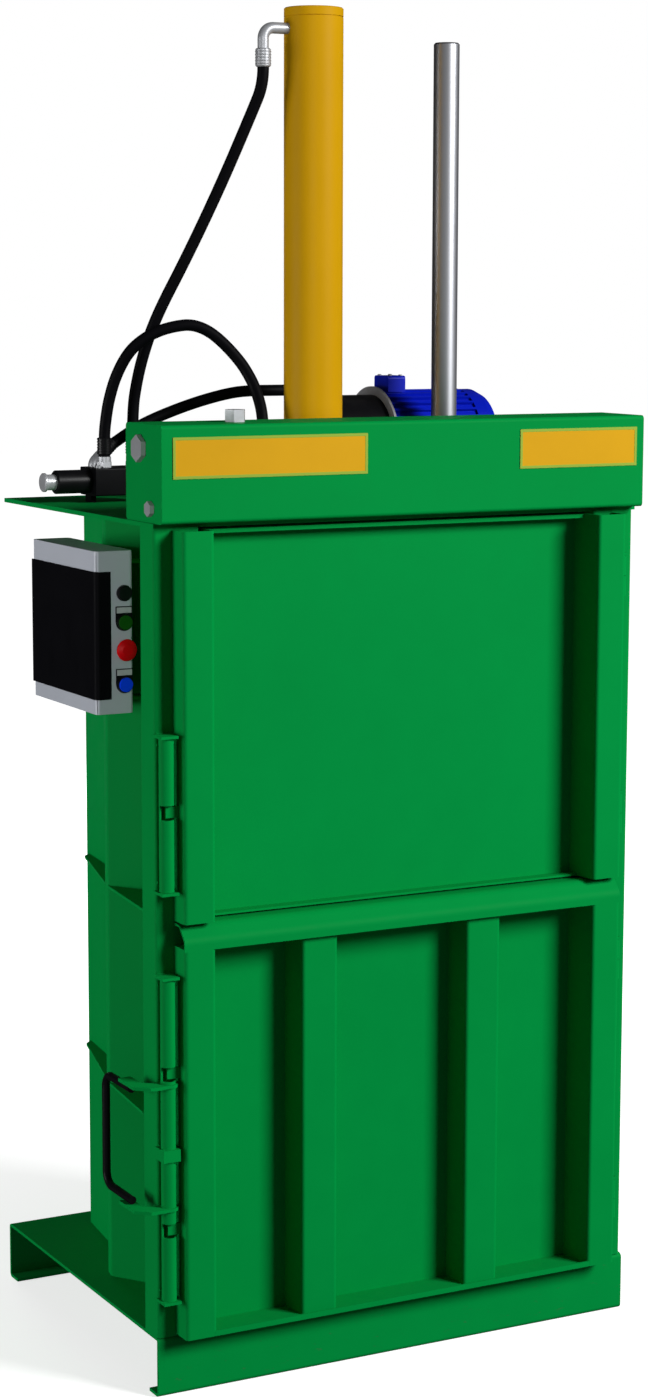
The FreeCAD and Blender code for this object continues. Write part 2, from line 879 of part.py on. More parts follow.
def build_lower_door():
    """Lower door: a ribbed panel on a sill, under a rounded rail across its top."""
    low = DOOR_LOW
    rail_low = f"({DOOR_SPLIT} - mid_rail_height)"
    path = door_path(("left_rib_inset", "right_rib_inset"))
    skin = folded("lower_door_panel", "XY", path, low, f"{rail_low} - {low}", "door_sheet",
                  bends=(1, 2, 5, 6, 9, 10, 13, 14), bend="door_bend")
    front = f"({FRONT} - door_depth)"
    recess = behind("panel_recess")
    inner_left = across("door_inset + stile_width - door_sheet")
    inner_right = across("door_inset + door_width - stile_width + door_sheet")
    ledge = block("Sill", inner_left, inner_right, front, f"{recess} + door_sheet",
                  low, f"{low} + door_sheet")
    lip = block("SillLip", inner_left, inner_right, front, f"{front} + door_sheet",
                low, f"{low} + sill_lip")
    node(joined("LowerDoor", skin, ledge, lip), "lower_door_panel")
    back = f"({recess} + door_sheet)"
    rail_path = [
        (back, rail_low),
        (front, rail_low),
        (front, f"{rail_low} + mid_rail_front"),
        (f"{front} + mid_rail_lean", DOOR_SPLIT),
        (back, DOOR_SPLIT),
    ]
    rail = folded("lower_door_rail", "YZ", rail_path, across("door_inset"), "door_width",
                  "door_sheet", bends=(2, 3), bend="mid_rail_bend")
    body = cut("RailEnds", rail,
               block("LeftRailEnd", across("door_inset - door_gap"),
                     across("door_inset + stile_width"), f"{FRONT} - door_post_gap",
                     f"{back} + door_gap", f"{rail_low} - door_gap", f"{DOOR_SPLIT} + door_gap"),
               block("RightRailEnd", across("door_inset + door_width - stile_width"),
                     across("door_inset + door_width + door_gap"),
                     f"{FRONT} - door_post_gap", f"{back} + door_gap",
                     f"{rail_low} - door_gap", f"{DOOR_SPLIT} + door_gap"))
    node(body, "lower_door_rail")


def build_hinges():
    """Two hinges to a door: post knuckle below, door knuckle above, a headed pin."""
    spans = {
        "upper": (f"({DOOR_SPLIT} + door_gap)", DOOR_HIGH),
        "lower": (DOOR_LOW, f"({DOOR_SPLIT} - mid_rail_height)"),
    }
    fixed = []
    pins = []
    door_side = across("door_inset + door_width")
    for name, (low, high) in spans.items():
        moving = []
        tall = "(2 * knuckle_height + knuckle_gap)"
        for place_name, foot in (
            ("Low", f"({low} + hinge_margin)"),
            ("High", f"({high} - hinge_margin - {tall})"),
        ):
            title = f"{name.title()}{place_name}"
            upper_foot = f"({foot} + knuckle_height + knuckle_gap)"
            centre = (HINGE_X, HINGE_Y)
            barrel = rod(f"{title}PostBarrel", "knuckle_radius", "knuckle_height",
                         (*centre, foot))
            leaf = block(f"{title}PostLeaf", HINGE_X, f"{HINGE_X} + knuckle_radius",
                         HINGE_Y, FRONT, foot, f"{foot} + knuckle_height")
            hole = rod(f"{title}PostHole", "pin_radius", "knuckle_height", (*centre, foot))
            whole = joined(f"{title}PostBlank", barrel, leaf)
            fixed.append(cut(f"{title}PostKnuckle", whole, hole))
            ring = rod(f"{title}DoorBarrel", "knuckle_radius", "knuckle_height",
                       (*centre, upper_foot))
            wing = block(f"{title}DoorLeaf", door_side, f"{door_side} + hinge_leaf",
                         f"{HINGE_Y} - knuckle_radius - door_sheet", HINGE_Y,
                         upper_foot, f"{upper_foot} + knuckle_height")
            bore = rod(f"{title}DoorHole", "pin_radius + running_gap", "knuckle_height",
                       (*centre, upper_foot))
            blank = joined(f"{title}DoorBlank", ring, wing)
            moving.append(cut(f"{title}DoorKnuckle", blank, bore))
            shank = rod(f"{title}PinShank", "pin_radius", f"{tall} + knuckle_gap",
                        (*centre, foot))
            head = rod(f"{title}PinHead", "knuckle_radius", "pin_head",
                       (*centre, f"{foot} + {tall} + knuckle_gap"))
            pins.append(joined(f"{title}Pin", shank, head))
        node(group(f"{name.title()}DoorKnuckles", *moving), f"{name}_door_knuckles")
    node(group("PostKnuckles", *fixed), "post_knuckles")
    node(group("HingePins", *pins), "hinge_pins")


def build_latch(name, low, lugs, brackets):
    """One latch tube, windowed at its lugs, between two stub brackets."""
    centre = (LATCH_X, LATCH_Y)
    title = name.title()
    length = f"{name}_latch_length"
    start = f"({low} + latch_end_gap)"
    run = f"({length} - 2 * latch_end_gap)"
    outer = rod(f"{title}TubeOuter", "latch_radius", run, (*centre, start))
    bore = rod(f"{title}TubeBore", "latch_bore", run, (*centre, start))
    slots = []
    for lug in lugs:
        turn = FreeCAD.Rotation(
            FreeCAD.Vector(0, 0, 1), value("latch_wall_start + latch_wall_angle"))
        slots.append(rod(f"{title}{lug.title().replace('_', '')}Slot",
                         "latch_radius + bolt_gap", "latch_window",
                         (*centre, f"{low} + {lug} - latch_window / 2"), turn,
                         "360 - latch_wall_angle"))
    node(cut(f"{title}LatchTube", outer, bore, *slots), f"{name}_latch_tube")
    ends = {
        "Bottom": (f"({low} - bracket_sheet)", low),
        "Top": (f"({low} + {length})", f"({low} + {length} - stub_reach)"),
    }
    for place_name, (foot, stub_foot) in ends.items():
        plate = block(f"{title}{place_name}Plate", f"{LATCH_X} - bracket_left",
                      f"{LATCH_X} + bracket_right", f"{LATCH_Y} - bracket_front", FRONT,
                      foot, f"{foot} + bracket_sheet")
        stub = rod(f"{title}{place_name}Stub", "latch_bore - running_gap", "stub_reach",
                   (*centre, stub_foot))
        brackets.append(joined(f"{title}{place_name}Bracket", plate, stub))


def lug_blocks(name, low, lugs):
    """The tongues on a door's latch side that reach into its latch tube's windows."""
    return [
        block(f"{name}{index}", f"{LATCH_X} - lug_reach", across("door_inset"),
              f"{LATCH_Y} - lug_thickness / 2", f"{LATCH_Y} + lug_thickness / 2",
              f"{low} + {lug} - lug_height / 2", f"{low} + {lug} + lug_height / 2")
        for index, lug in enumerate(lugs)
    ]


def build_latches():
    """Slotted latch tubes on stub brackets on the left post, and the doors' tongues."""
    brackets = []
    build_latch("upper", UPPER_LATCH, UPPER_LUGS, brackets)
    build_latch("lower", LOWER_LATCH, LOWER_LUGS, brackets)
    node(group("UpperLugs", *lug_blocks("UpperLug", UPPER_LATCH, UPPER_LUGS)),
         "upper_door_lug")
    node(group("LowerLugs", *lug_blocks("LowerLug", LOWER_LATCH, LOWER_LUGS)),
         "lower_door_lugs")
    centre = (LATCH_X, LATCH_Y)
    guide = f"({LOWER_LATCH} + guide_rise)"
    strap = block("GuideStrap", f"{LATCH_X} - bracket_left", f"{LATCH_X} + bracket_right",
                  f"{LATCH_Y} - bracket_front", FRONT, guide,
                  f"{guide} + guide_height")
    eye = rod("GuideEye", "latch_radius + 2 * running_gap", "guide_height",
              (*centre, guide))
    brackets.append(cut("LatchGuide", strap, eye))
    node(group("LatchBrackets", *brackets), "latch_brackets")


def build_handle():
    """The lower latch's bent grip on two flat arms that reach round the post."""
    outline = [
        (f"{LATCH_X} - arm_ring", f"{LATCH_Y} - arm_ring"),
        (LATCH_X, f"{LATCH_Y} - arm_ring"),
        (LATCH_X, f"{FRONT} - arm_sheet"),
        (f"{LEFT} - arm_sheet - grip_radius", f"{FRONT} - arm_sheet"),
        (f"{LEFT} - arm_inner", f"{FRONT} + arm_sheet"),
        (f"{LEFT} - arm_inner", behind("arm_back")),
        (f"{LEFT} - arm_outer", behind("arm_back")),
        (f"{LEFT} - arm_outer", f"{LATCH_Y} + arm_sheet"),
        (f"{LEFT} - arm_inner", f"{LATCH_Y} - arm_ring"),
    ]
    arms = []
    for level in ("arm_low", "arm_high"):
        title = level.title().replace("_", "")
        foot = f"({LOWER_LATCH} + {level})"
        arm = prism(f"{title}_reach", "XY", outline, foot, "arm_sheet")
        ring = rod(f"{title}Ring", "arm_ring", "arm_sheet", (LATCH_X, LATCH_Y, foot))
        eye = rod(f"{title}Eye", "latch_radius", "arm_sheet", (LATCH_X, LATCH_Y, foot))
        arms.append(cut(f"{title}Plate", joined(f"{title}Blank", arm, ring), eye))
    node(group("HandleArms", *arms), "handle_arms")
    x = f"({LEFT} - grip_out)"
    back = behind("grip_back")
    start = behind("grip_start")
    low = f"({LOWER_LATCH} + arm_low + arm_sheet + grip_radius)"
    high = f"({LOWER_LATCH} + arm_high - grip_radius)"
    points = [(x, start, low), (x, back, low), (x, back, high), (x, start, high)]
    node(tube("handle_grip", points, "grip_radius", "grip_bend"), "handle_grip")


def build_cylinder():
    """Press cylinder: barrel, cap, bolted flange, gland and its two ports."""
    x, y = across("cylinder_x"), behind("cylinder_y")
    barrel = turned("cylinder_barrel", [
        ("barrel_bore", FLANGE_TOP),
        ("barrel_radius", FLANGE_TOP),
        ("barrel_radius", BARREL_TOP),
        ("barrel_radius - cap_groove", BARREL_TOP),
        ("barrel_radius - cap_groove", f"{BARREL_TOP} + cap_groove"),
        ("barrel_radius", f"{BARREL_TOP} + cap_groove"),
        ("barrel_radius", f"{BARREL_TOP} + cap_height - cap_groove"),
        ("barrel_radius - cap_groove", f"{BARREL_TOP} + cap_height"),
        ("0", f"{BARREL_TOP} + cap_height"),
        ("0", f"{BARREL_TOP} - cap_spigot"),
        ("barrel_bore", f"{BARREL_TOP} - cap_spigot"),
    ], (x, y, "0"))
    node(barrel, "cylinder_barrel")
    half = "(flange_side / 2)"
    pitch = "(flange_bolt_pitch / 2)"
    spots = [(f"{x} {a} {pitch}", f"{y} {b} {pitch}") for a in "+-" for b in "+-"]
    holes = [(spot, "flange_bolt_radius + bolt_gap") for spot in spots]
    flange = prism("cylinder_flange", "XY",
                   rectangle(f"{x} - {half}", f"{x} + {half}", f"{y} - {half}", f"{y} + {half}"),
                   PLATE_TOP, "flange_sheet", holes=[((x, y), "flange_hole"), *holes],
                   radius="ram_corner")
    node(flange, "cylinder_flange")
    bolts = [
        bolt(f"FlangeBolt{index}", "flange_bolt_flats", "flange_bolt_head",
             "flange_bolt_radius", "flange_sheet", (*spot, FLANGE_TOP))
        for index, spot in enumerate(spots)
    ]
    node(group("FlangeBolts", *bolts), "cylinder_flange_bolts")
    gland = turned("cylinder_gland", rectangle(
        "rod_radius + running_gap", "barrel_bore", FLANGE_TOP,
        f"{FLANGE_TOP} + gland_height"), (x, y, "0"))
    node(gland, "cylinder_gland")


def build_ram():
    """The moving press plate with its ribs, piston rod, piston and guide rod."""
    x, y = across("cylinder_x"), behind("cylinder_y")
    right = "(base_width / 2 - ram_front_inset)"
    rear_right = "(base_width / 2 - ram_back_inset)"
    outline = [
        (f"-{right}", behind("ram_front")),
        (right, behind("ram_front")),
        (rear_right, behind("ram_back")),
        (f"-{rear_right}", behind("ram_back")),
    ]
    plate = prism("press_plate", "XY", outline, f"{RAM_TOP} - ram_sheet", "ram_sheet",
                  radius="ram_corner")
    ribs = []
    for place_name, sign in (("Front", "-"), ("Rear", "+")):
        middle = f"({y} {sign} ram_rib_offset)"
        left = f"({middle} - ram_rib_width / 2)"
        far = f"({middle} + ram_rib_width / 2)"
        high = f"({RAM_TOP} + ram_rib_height)"
        path = [(left, RAM_TOP), (left, high), (far, high), (far, RAM_TOP)]
        ribs.append(folded(f"{place_name}_ram_rib", "YZ", path, "-ram_rib_length / 2",
                           "ram_rib_length", "ram_rib_sheet", bends=(1, 2), bend="wall_bend"))
    node(joined("RibbedPressPlate", plate, *ribs), "press_plate")
    piston_top = f"({BARREL_TOP} - cap_spigot - piston_top_gap)"
    shaft = turned("piston_rod", [
        ("0", RAM_TOP),
        ("rod_foot_radius", RAM_TOP),
        ("rod_foot_radius", f"{RAM_TOP} + rod_foot"),
        ("rod_radius", f"{RAM_TOP} + rod_foot"),
        ("rod_radius", f"{piston_top} - piston_height"),
        ("0", f"{piston_top} - piston_height"),
    ], (x, y, "0"))
    node(shaft, "piston_rod")
    piston = turned("piston", rectangle(
        "0", "barrel_bore - running_gap", f"{piston_top} - piston_height", piston_top),
        (x, y, "0"))
    node(piston, "piston")
    guide = turned("guide_rod", [
        ("0", RAM_TOP),
        ("guide_foot_radius", RAM_TOP),
        ("guide_foot_radius", f"{RAM_TOP} + guide_foot"),
        ("guide_radius", f"{RAM_TOP} + guide_foot"),
        ("guide_radius", f"{RAM_TOP} + guide_length - guide_chamfer"),
        ("guide_radius - guide_chamfer", f"{RAM_TOP} + guide_length"),
        ("0", f"{RAM_TOP} + guide_length"),
    ], (across("guide_x"), y, "0"))
    node(guide, "guide_rod")
    bush = turned("guide_bush", [
        ("guide_radius + running_gap", f"{CEILING} - bush_below"),
        ("bush_radius", f"{CEILING} - bush_below"),
        ("bush_radius", PLATE_TOP),
        ("bush_rim", PLATE_TOP),
        ("bush_rim", f"{PLATE_TOP} + bush_rim_height"),
        ("bush_radius", f"{PLATE_TOP} + bush_rim_height"),
        ("bush_radius", f"{PLATE_TOP} + bush_height"),
        ("guide_radius + running_gap", f"{PLATE_TOP} + bush_height"),
    ], (across("guide_x"), y, "0"))
    node(bush, "guide_bush")


def build_valve():
    """Directional valve on two feet, with its coil, hand knob and hose fittings."""
    left, right = across("valve_inset"), across("valve_inset + valve_width")
    front, back = behind("valve_front"), behind("valve_front + valve_depth")
    low = f"({PLATE_TOP} + valve_foot_height)"
    high = f"({low} + valve_height)"
    body = prism("valve_block", "YZ", rectangle(front, back, low, high), left,
                 "valve_width", radius="valve_edge")
    feet = []
    for name, edge in (
        ("LeftValveFoot", left),
        ("RightValveFoot", f"({right} - valve_foot_width)"),
    ):
        feet.append(block(name, edge, f"{edge} + valve_foot_width",
                          f"{front} + valve_foot_margin", f"{back} - valve_foot_margin",
                          PLATE_TOP, low))
    node(joined("ValveBody", body, *feet), "valve_block")
    axis = (f"{front} + coil_row", f"{low} + coil_rise")
    coil = turned("valve_coil", [
        ("0", "0"),
        ("coil_radius - cap_groove", "0"),
        ("coil_radius", "cap_groove"),
        ("coil_radius", "coil_length"),
        ("0", "coil_length"),
    ], (f"{left} - coil_length", *axis), ALONG_X)
    node(coil, "valve_coil")
    knob = turned("valve_knob", [
        ("0", "0"),
        ("knob_radius - cap_groove", "0"),
        ("knob_radius", "cap_groove"),
        ("knob_radius", "knob_width - cap_groove"),
        ("knob_radius - cap_groove", "knob_width"),
        ("knob_stem", "knob_width"),
        ("knob_stem", "knob_width + knob_stem_length"),
        ("0", "knob_width + knob_stem_length"),
    ], (f"{left} - coil_length - knob_width - knob_stem_length", *axis), ALONG_X)
    node(knob, "valve_knob")
    fittings = []
    for name in ("port_left", "port_right"):
        spot = (f"{left} + {name}", f"{front} + port_row", high)
        nut = hexagon(f"{name.title().replace('_', '')}Nut", "2 * fitting_radius - cap_groove",
                      "fitting_height / 2", spot)
        neck = rod(f"{name.title().replace('_', '')}Neck", "fitting_radius - cap_groove / 2",
                   "fitting_height", spot)
        fittings.append(joined(f"{name.title().replace('_', '')}Fitting", nut, neck))
    x, y = f"{left} + angle_port", f"{front} + angle_port_row"
    rise = f"({high} + fitting_radius / 2)"
    bent = tube("valve_angle_fitting", [
        (x, y, high),
        (x, y, rise),
        (f"{x} + fitting_radius", y, f"{rise} + fitting_radius"),
    ], "hose_radius + cap_groove / 2", "fitting_radius")
    node(group("ValveFittings", *fittings, bent), "valve_fittings")


def core_space(name, y, start):
    """The room that the motor's core takes inside a foot."""
    return rod(f"{name}CoreSpace", "motor_radius - fin_width", "motor_length",
               (across(start), y, PACK_Z), ALONG_X)


def build_power_pack():
    """Electric motor, flange and oil tank in line, with the motor's fan behind a cowl."""
    y = behind("pack_y")
    motor_start = "(tank_end + pack_flange)"
    motor_end = "(tank_end + pack_flange + motor_length)"
    tank = turned("oil_tank", [
        ("0", TANK_START),
        ("tank_radius - tank_round", TANK_START),
        ("tank_radius - tank_round / 3", f"{TANK_START} + tank_round / 3"),
        ("tank_radius", f"{TANK_START} + tank_round"),
        ("tank_radius", "tank_end"),
        ("0", "tank_end"),
    ], (LEFT, y, PACK_Z), ALONG_X)
    node(tank, "oil_tank")
    disc = turned("flange_disc", rectangle(
        "0", "pack_flange_radius", "tank_end", motor_start), (LEFT, y, PACK_Z), ALONG_X)
    under = block("FlangeUnderside", across("(tank_end - pack_flange)"),
                  across(f"({motor_start} + pack_flange)"), f"{y} - pack_flange_radius",
                  f"{y} + pack_flange_radius", f"{PACK_Z} - 2 * pack_flange_radius", PLATE_TOP)
    node(cut("PackFlange", disc, under), "pack_flange")
    core = turned("motor_core", rectangle(
        "shaft_radius + cap_gap", "motor_radius", motor_start, motor_end),
        (LEFT, y, PACK_Z), ALONG_X)
    fins = []
    for index in range(int(value("fin_count"))):
        angle = 360 / value("fin_count") * index
        fin = document.addObject("Part::Box", f"Fin{index}")
        bind(fin, Length="motor_length", Width="fin_width",
             Height="fin_radius - motor_radius + fin_width")
        turn = FreeCAD.Rotation(FreeCAD.Vector(1, 0, 0), angle)
        shift = FreeCAD.Vector(0, -value("fin_width") / 2, value("motor_radius - fin_width"))
        fin.Placement = FreeCAD.Placement(turn.multVec(shift), turn)
        fins.append(fin)
    crown = joined("MotorFins", *fins)
    place(crown, (across(motor_start), y, PACK_Z))
    floor = "cowl_sheet"
    cowl = turned("fan_cowl_shell", [
        ("0", f"{motor_end} + cowl_length - {floor}"),
        ("cowl_radius - cowl_round", f"{motor_end} + cowl_length - {floor}"),
        (f"cowl_radius - cowl_round / 3 - {floor}",
         f"{motor_end} + cowl_length - cowl_round / 3 - {floor}"),
        (f"cowl_radius - {floor}", f"{motor_end} + cowl_length - cowl_round"),
        (f"cowl_radius - {floor}", motor_end),
        ("cowl_radius", motor_end),
        ("cowl_radius", f"{motor_end} + cowl_length - cowl_round"),
        ("cowl_radius - cowl_round / 3", f"{motor_end} + cowl_length - cowl_round / 3"),
        ("cowl_radius - cowl_round", f"{motor_end} + cowl_length"),
        ("0", f"{motor_end} + cowl_length"),
    ], (LEFT, y, PACK_Z), ALONG_X)
    slots = []
    for ring, count in (("cowl_slot_ring", 12), ("cowl_slot_ring / 2", 6)):
        for index in range(count):
            angle = 2 * math.pi * index / count
            slots.append(rod(
                f"CowlSlot{count}x{index}", "cowl_slot_radius", "4 * cowl_sheet",
                (across(f"({motor_end} + cowl_length - 3 * cowl_sheet)"),
                 f"{y} + {ring} * {math.cos(angle):.6f}",
                 f"{PACK_Z} + {ring} * {math.sin(angle):.6f}"), ALONG_X))
    node(cut("FanCowl", cowl, *slots), "fan_cowl")
    fan_start = f"({motor_end} + fan_gap)"
    hub = turned("fan_hub", [
        ("0", f"{motor_end} - motor_length / 2"),
        ("shaft_radius", f"{motor_end} - motor_length / 2"),
        ("shaft_radius", fan_start),
        ("fan_hub", fan_start),
        ("fan_hub", f"{fan_start} + fan_width"),
        ("0", f"{fan_start} + fan_width"),
    ], (LEFT, y, PACK_Z), ALONG_X)
    blades = []
    for index in range(6):
        blade = document.addObject("Part::Box", f"FanBlade{index}")
        bind(blade, Length="fan_width", Width="cap_groove", Height="fan_radius - shaft_radius")
        turn = FreeCAD.Rotation(FreeCAD.Vector(1, 0, 0), 60 * index)
        shift = FreeCAD.Vector(0, -value("cap_groove") / 2, value("shaft_radius"))
        blade.Placement = FreeCAD.Placement(turn.multVec(shift), turn)
        blades.append(blade)
    vanes = place(joined("FanBlades", *blades), (across(fan_start), y, PACK_Z))
    node(joined("MotorFan", hub, vanes), "motor_fan")
    skin = rod("MotorSkin", "fin_radius + fit_gap", "motor_length",
               (across(motor_start), y, PACK_Z), ALONG_X)
    lid = prism("terminal_box", "YZ", rectangle(
        f"{y} - terminal_depth / 2", f"{y} + terminal_depth / 2",
        f"{PACK_Z} + fin_radius / 2", f"{PACK_Z} + terminal_rise"),
        across(f"{motor_start} + terminal_offset"), "terminal_width", radius="terminal_bend")
    node(cut("TerminalBox", lid, skin), "terminal_box")
    feet = []
    for name, sign in (("Front", "-"), ("Rear", "+")):
        near = f"({y} {sign} foot_spread - foot_rail / 2)"
        start = across(f"{motor_start} + foot_offset")
        rail = block(f"{name}FootBlank", start, f"{start} + foot_length", near, f"{near} + foot_rail",
                     PLATE_TOP, f"{PACK_Z} - fin_radius / 3")
        feet.append(cut(f"{name}MotorFoot", rail, core_space(name, y, motor_start)))
    node(joined("MotorHousing", core, crown, *feet), "motor_housing")


def build_hose_ends():
    """The elbows at the cylinder's two ports and on the tank, and the hoses' ferrules."""
    x, y = across("cylinder_x"), behind("cylinder_y")
    high_port = f"({BARREL_TOP} - port_high_drop)"
    low_port = f"({FLANGE_TOP} + port_low_rise)"
    high_end = f"({high_port} - elbow_leg)"
    low_end = f"({low_port} + low_elbow_leg)"
    ports = (
        ("upper_port_elbow", high_port, "port_out", high_end),
        ("lower_port_elbow", low_port, "low_port_out", low_end),
    )
    elbows = []
    for name, level, out, end in ports:
        leg = f"({x} - {out})"
        pipe = tube(name, [(f"{x} - barrel_bore", y, level), (leg, y, level), (leg, y, end)],
                    "port_radius", "port_bend")
        skin = rod(f"{name.title().replace('_', '')}Skin", "barrel_radius",
                   "2 * port_out", (x, y, f"{level} - port_out"))
        elbows.append(cut(f"{name.title().replace('_', '')}Cut", pipe, skin))
    pack = behind("pack_y")
    port = across(f"{TANK_START} + pump_port")
    level = f"({PACK_Z} + pump_port_rise)"
    pipe = tube("pump_elbow", [
        (f"{port} - pump_port_reach", pack, level),
        (port, pack, level),
        (port, pack, f"{PACK_Z} + tank_radius - port_radius"),
    ], "hose_radius - cap_groove", "port_radius")
    drum = rod("TankSkin", "tank_radius", "tank_length",
               (across(TANK_START), pack, PACK_Z), ALONG_X)
    elbows.append(cut("PumpElbow", pipe, drum))
    node(group("HoseElbows", *elbows), "hose_elbows")
    ferrules = (
        ("upper_ferrule", "port_out", f"{high_end} - ferrule_height"),
        ("lower_ferrule", "low_port_out", low_end),
    )
    sleeves = []
    for name, out, foot in ferrules:
        sleeve = turned(name, [
            ("0", "0"),
            ("ferrule_radius - cap_groove", "0"),
            ("ferrule_radius", "cap_groove"),
            ("ferrule_radius", "ferrule_height - cap_groove"),
            ("ferrule_radius - cap_groove", "ferrule_height"),
            ("0", "ferrule_height"),
        ], (f"{x} - {out}", y, foot))
        sleeves.append(sleeve)
    node(group("HoseFerrules", *sleeves), "hose_ferrules")


def build_control_box():
    """Control box on the wall's rib: shell, wrap-round cover, brackets and buttons."""
    left, right = f"({LEFT} - box_left)", across("rib_crest_inset")
    front, back = behind("box_front"), behind("box_front + box_depth")
    high = f"({BOX_BASE} + box_height)"
    cover_base = f"({BOX_BASE} + cover_rise)"
    outer = prism("control_box", "XY", rectangle(left, right, front, back), BOX_BASE,
                  "box_height", radius="box_bend")
    hollow = block("BoxHollow", f"{left} + box_wall", f"{right} - box_wall",
                   f"{front} + box_wall", f"{back} - box_wall",
                   f"{BOX_BASE} + box_wall", f"{high} - box_wall")
    window = block("BoxWindow", f"{left} - box_wall", f"{left} + 2 * box_wall",
                   f"{front} + box_margin", f"{back} - box_margin",
                   f"{cover_base} + box_margin",
                   f"{cover_base} + cover_height - box_margin")
    levels = ("black_button", "green_button", "red_button", "blue_button")
    labelled = ("green_button", "blue_button")
    x = f"({right} - button_inset)"
    holes = [
        rod(f"{level[:-7].title()}Hole", "bezel_sleeve + fit_gap", "2 * box_margin",
            (x, f"{front} + box_margin", f"{BOX_BASE} + {level}"), TO_FRONT)
        for level in levels
    ]
    node(cut("ControlBox", outer, hollow, window, *holes), "control_box")
    skin_front = f"({front} - cover_sheet)"
    skin_left = f"({left} - cover_sheet)"
    cover = folded("control_box_cover", "XY", [
        (across("cover_leg"), skin_front),
        (skin_left, skin_front),
        (skin_left, back),
    ], cover_base, "cover_height", "cover_sheet", bends=(1,), bend="cover_bend",
        inner="cover_bend - cover_sheet")
    node(cover, "control_box_cover")
    levels_held = ("box_bracket_low", "box_bracket_high")
    pieces = []
    for level in levels_held:
        near = "(box_front + box_margin)"
        far = "(rib_front - box_margin)"
        pieces.append(prism(f"bracket_{level[12:]}", "XY", [
            (right, behind(near)),
            (f"{wall_x(near)} - fit_gap", behind(near)),
            (f"{wall_x(far)} - fit_gap", behind(far)),
            (right, behind(far)),
        ], f"{BOX_BASE} + {level}", "gusset_sheet"))
    node(group("ControlBoxBrackets", *pieces), "control_box_brackets")
    bezels = []
    contacts = []
    for level in levels:
        title = level[:-7].title()
        height = f"({BOX_BASE} + {level})"
        seat = f"({front} - legend_sheet)" if level in labelled else front
        bezels.append(turned(f"{title}_bezel", [
            ("cap_stem + cap_gap", "-bezel_reach"),
            ("bezel_sleeve", "-bezel_reach"),
            ("bezel_sleeve", "0"),
            ("bezel_radius", "0"),
            ("bezel_radius", "bezel_proud"),
            ("cap_radius + cap_gap", "bezel_proud"),
            ("cap_radius + cap_gap", "bezel_floor"),
            ("cap_stem + cap_gap", "bezel_floor"),
        ], (x, seat, height), TO_FRONT))
        depth = f"({front} + cap_back + contact_gap)"
        contacts.append(block(f"{title}Contact", f"{right} - box_wall - contact_side",
                              f"{right} - box_wall", depth, f"{depth} + contact_depth",
                              f"{height} - contact_side / 2",
                              f"{height} + contact_side / 2"))
    node(group("ButtonBezels", *bezels), "button_bezels")
    node(group("ContactBlocks", *contacts), "contact_blocks")
    legends = []
    for level in labelled:
        height = f"({BOX_BASE} + {level})"
        title = level[:-7].title()
        back = f"({front} - legend_sheet)"
        plate = block(f"{title}LegendPlate", f"{x} - legend_width / 2",
                      f"{x} + legend_width / 2", back, front, height,
                      f"{height} + legend_height")
        ring = rod(f"{title}LegendRing", "legend_ring", "legend_sheet", (x, front, height),
                   TO_FRONT)
        hole = rod(f"{title}LegendHole", "bezel_sleeve + fit_gap", "4 * legend_sheet",
                   (x, f"{front} + legend_sheet", height), TO_FRONT)
        legends.append(cut(f"{title}Legend", joined(f"{title}Keyhole", plate, ring), hole))
    node(group("LegendPlates", *legends), "legend_plates")
    for level in levels:
        if level == "red_button":
            profile = [
                ("0", "-cap_back"),
                ("cap_stem", "-cap_back"),
                ("cap_stem", "bezel_proud + cap_face"),
                ("mushroom_radius - cap_groove", "bezel_proud + cap_face"),
                ("mushroom_radius", "bezel_proud + cap_face + cap_groove"),
                ("mushroom_radius - cap_groove", "bezel_proud + mushroom_stand"),
                ("mushroom_radius / 2", "bezel_proud + mushroom_face"),
                ("0", "bezel_proud + mushroom_face + cap_groove / 2"),
            ]
        else:
            profile = [
                ("0", "-cap_back"),
                ("cap_stem", "-cap_back"),
                ("cap_stem", "cap_face"),
                ("cap_radius", "cap_face"),
                ("cap_radius", "cap_face + cap_proud - cap_groove / 2"),
                ("cap_radius - cap_groove / 2", "cap_face + cap_proud"),
                ("0", "cap_face + cap_proud"),
            ]
        seat = f"({front} - legend_sheet)" if level in labelled else front
        spot = (x, seat, f"{BOX_BASE} + {level}")
        node(turned(f"{level}_turned", profile, spot, TO_FRONT), level)


HOSES = {
    "cylinder_top_hose": [
        (389, 350, 2398),
        (389, 350, 2366),
        (375, 369, 2316),
        (329, 406, 2184),
        (276, 445, 2050),
        (228, 482, 1938),
        (210, 503, 1867),
        (201, 516, 1812),
        (196, 526, 1755),
        (196, 526, 1671),
    ],
    "cylinder_foot_hose": [
        (137, 526, 1671),
        (137, 526, 1712),
        (140, 523, 1746),
        (143, 516, 1779),
        (152, 503, 1825),
        (171, 486, 1870),
        (197, 471, 1896),
        (225, 459, 1911),
        (254, 449, 1919),
        (282, 440, 1922),
        (312, 431, 1911),
        (340, 421, 1887),
        (369, 408, 1852),
        (382, 396, 1825),
        (389, 385, 1802),
        (392, 373, 1778),
        (392, 362, 1756),
        (389, 350, 1722),
        (389, 350, 1690),
    ],
    "pump_hose": [
        (142, 554, 1672),
        (156, 554, 1686),
        (182, 554, 1703),
        (225, 552, 1729),
        (281, 546, 1752),
        (342, 530, 1774),
        (402, 512, 1790),
        (442, 505, 1793),
        (484, 500, 1793),
        (578, 500, 1793),
    ],
}


def build_hoses():
    """Three pressure hoses, each along the route seen between its two fittings."""
    for name, route in HOSES.items():
        points = [(across(x), behind(y), z) for x, y, z in route]
        node(tube(name, points, "hose_radius"), name)


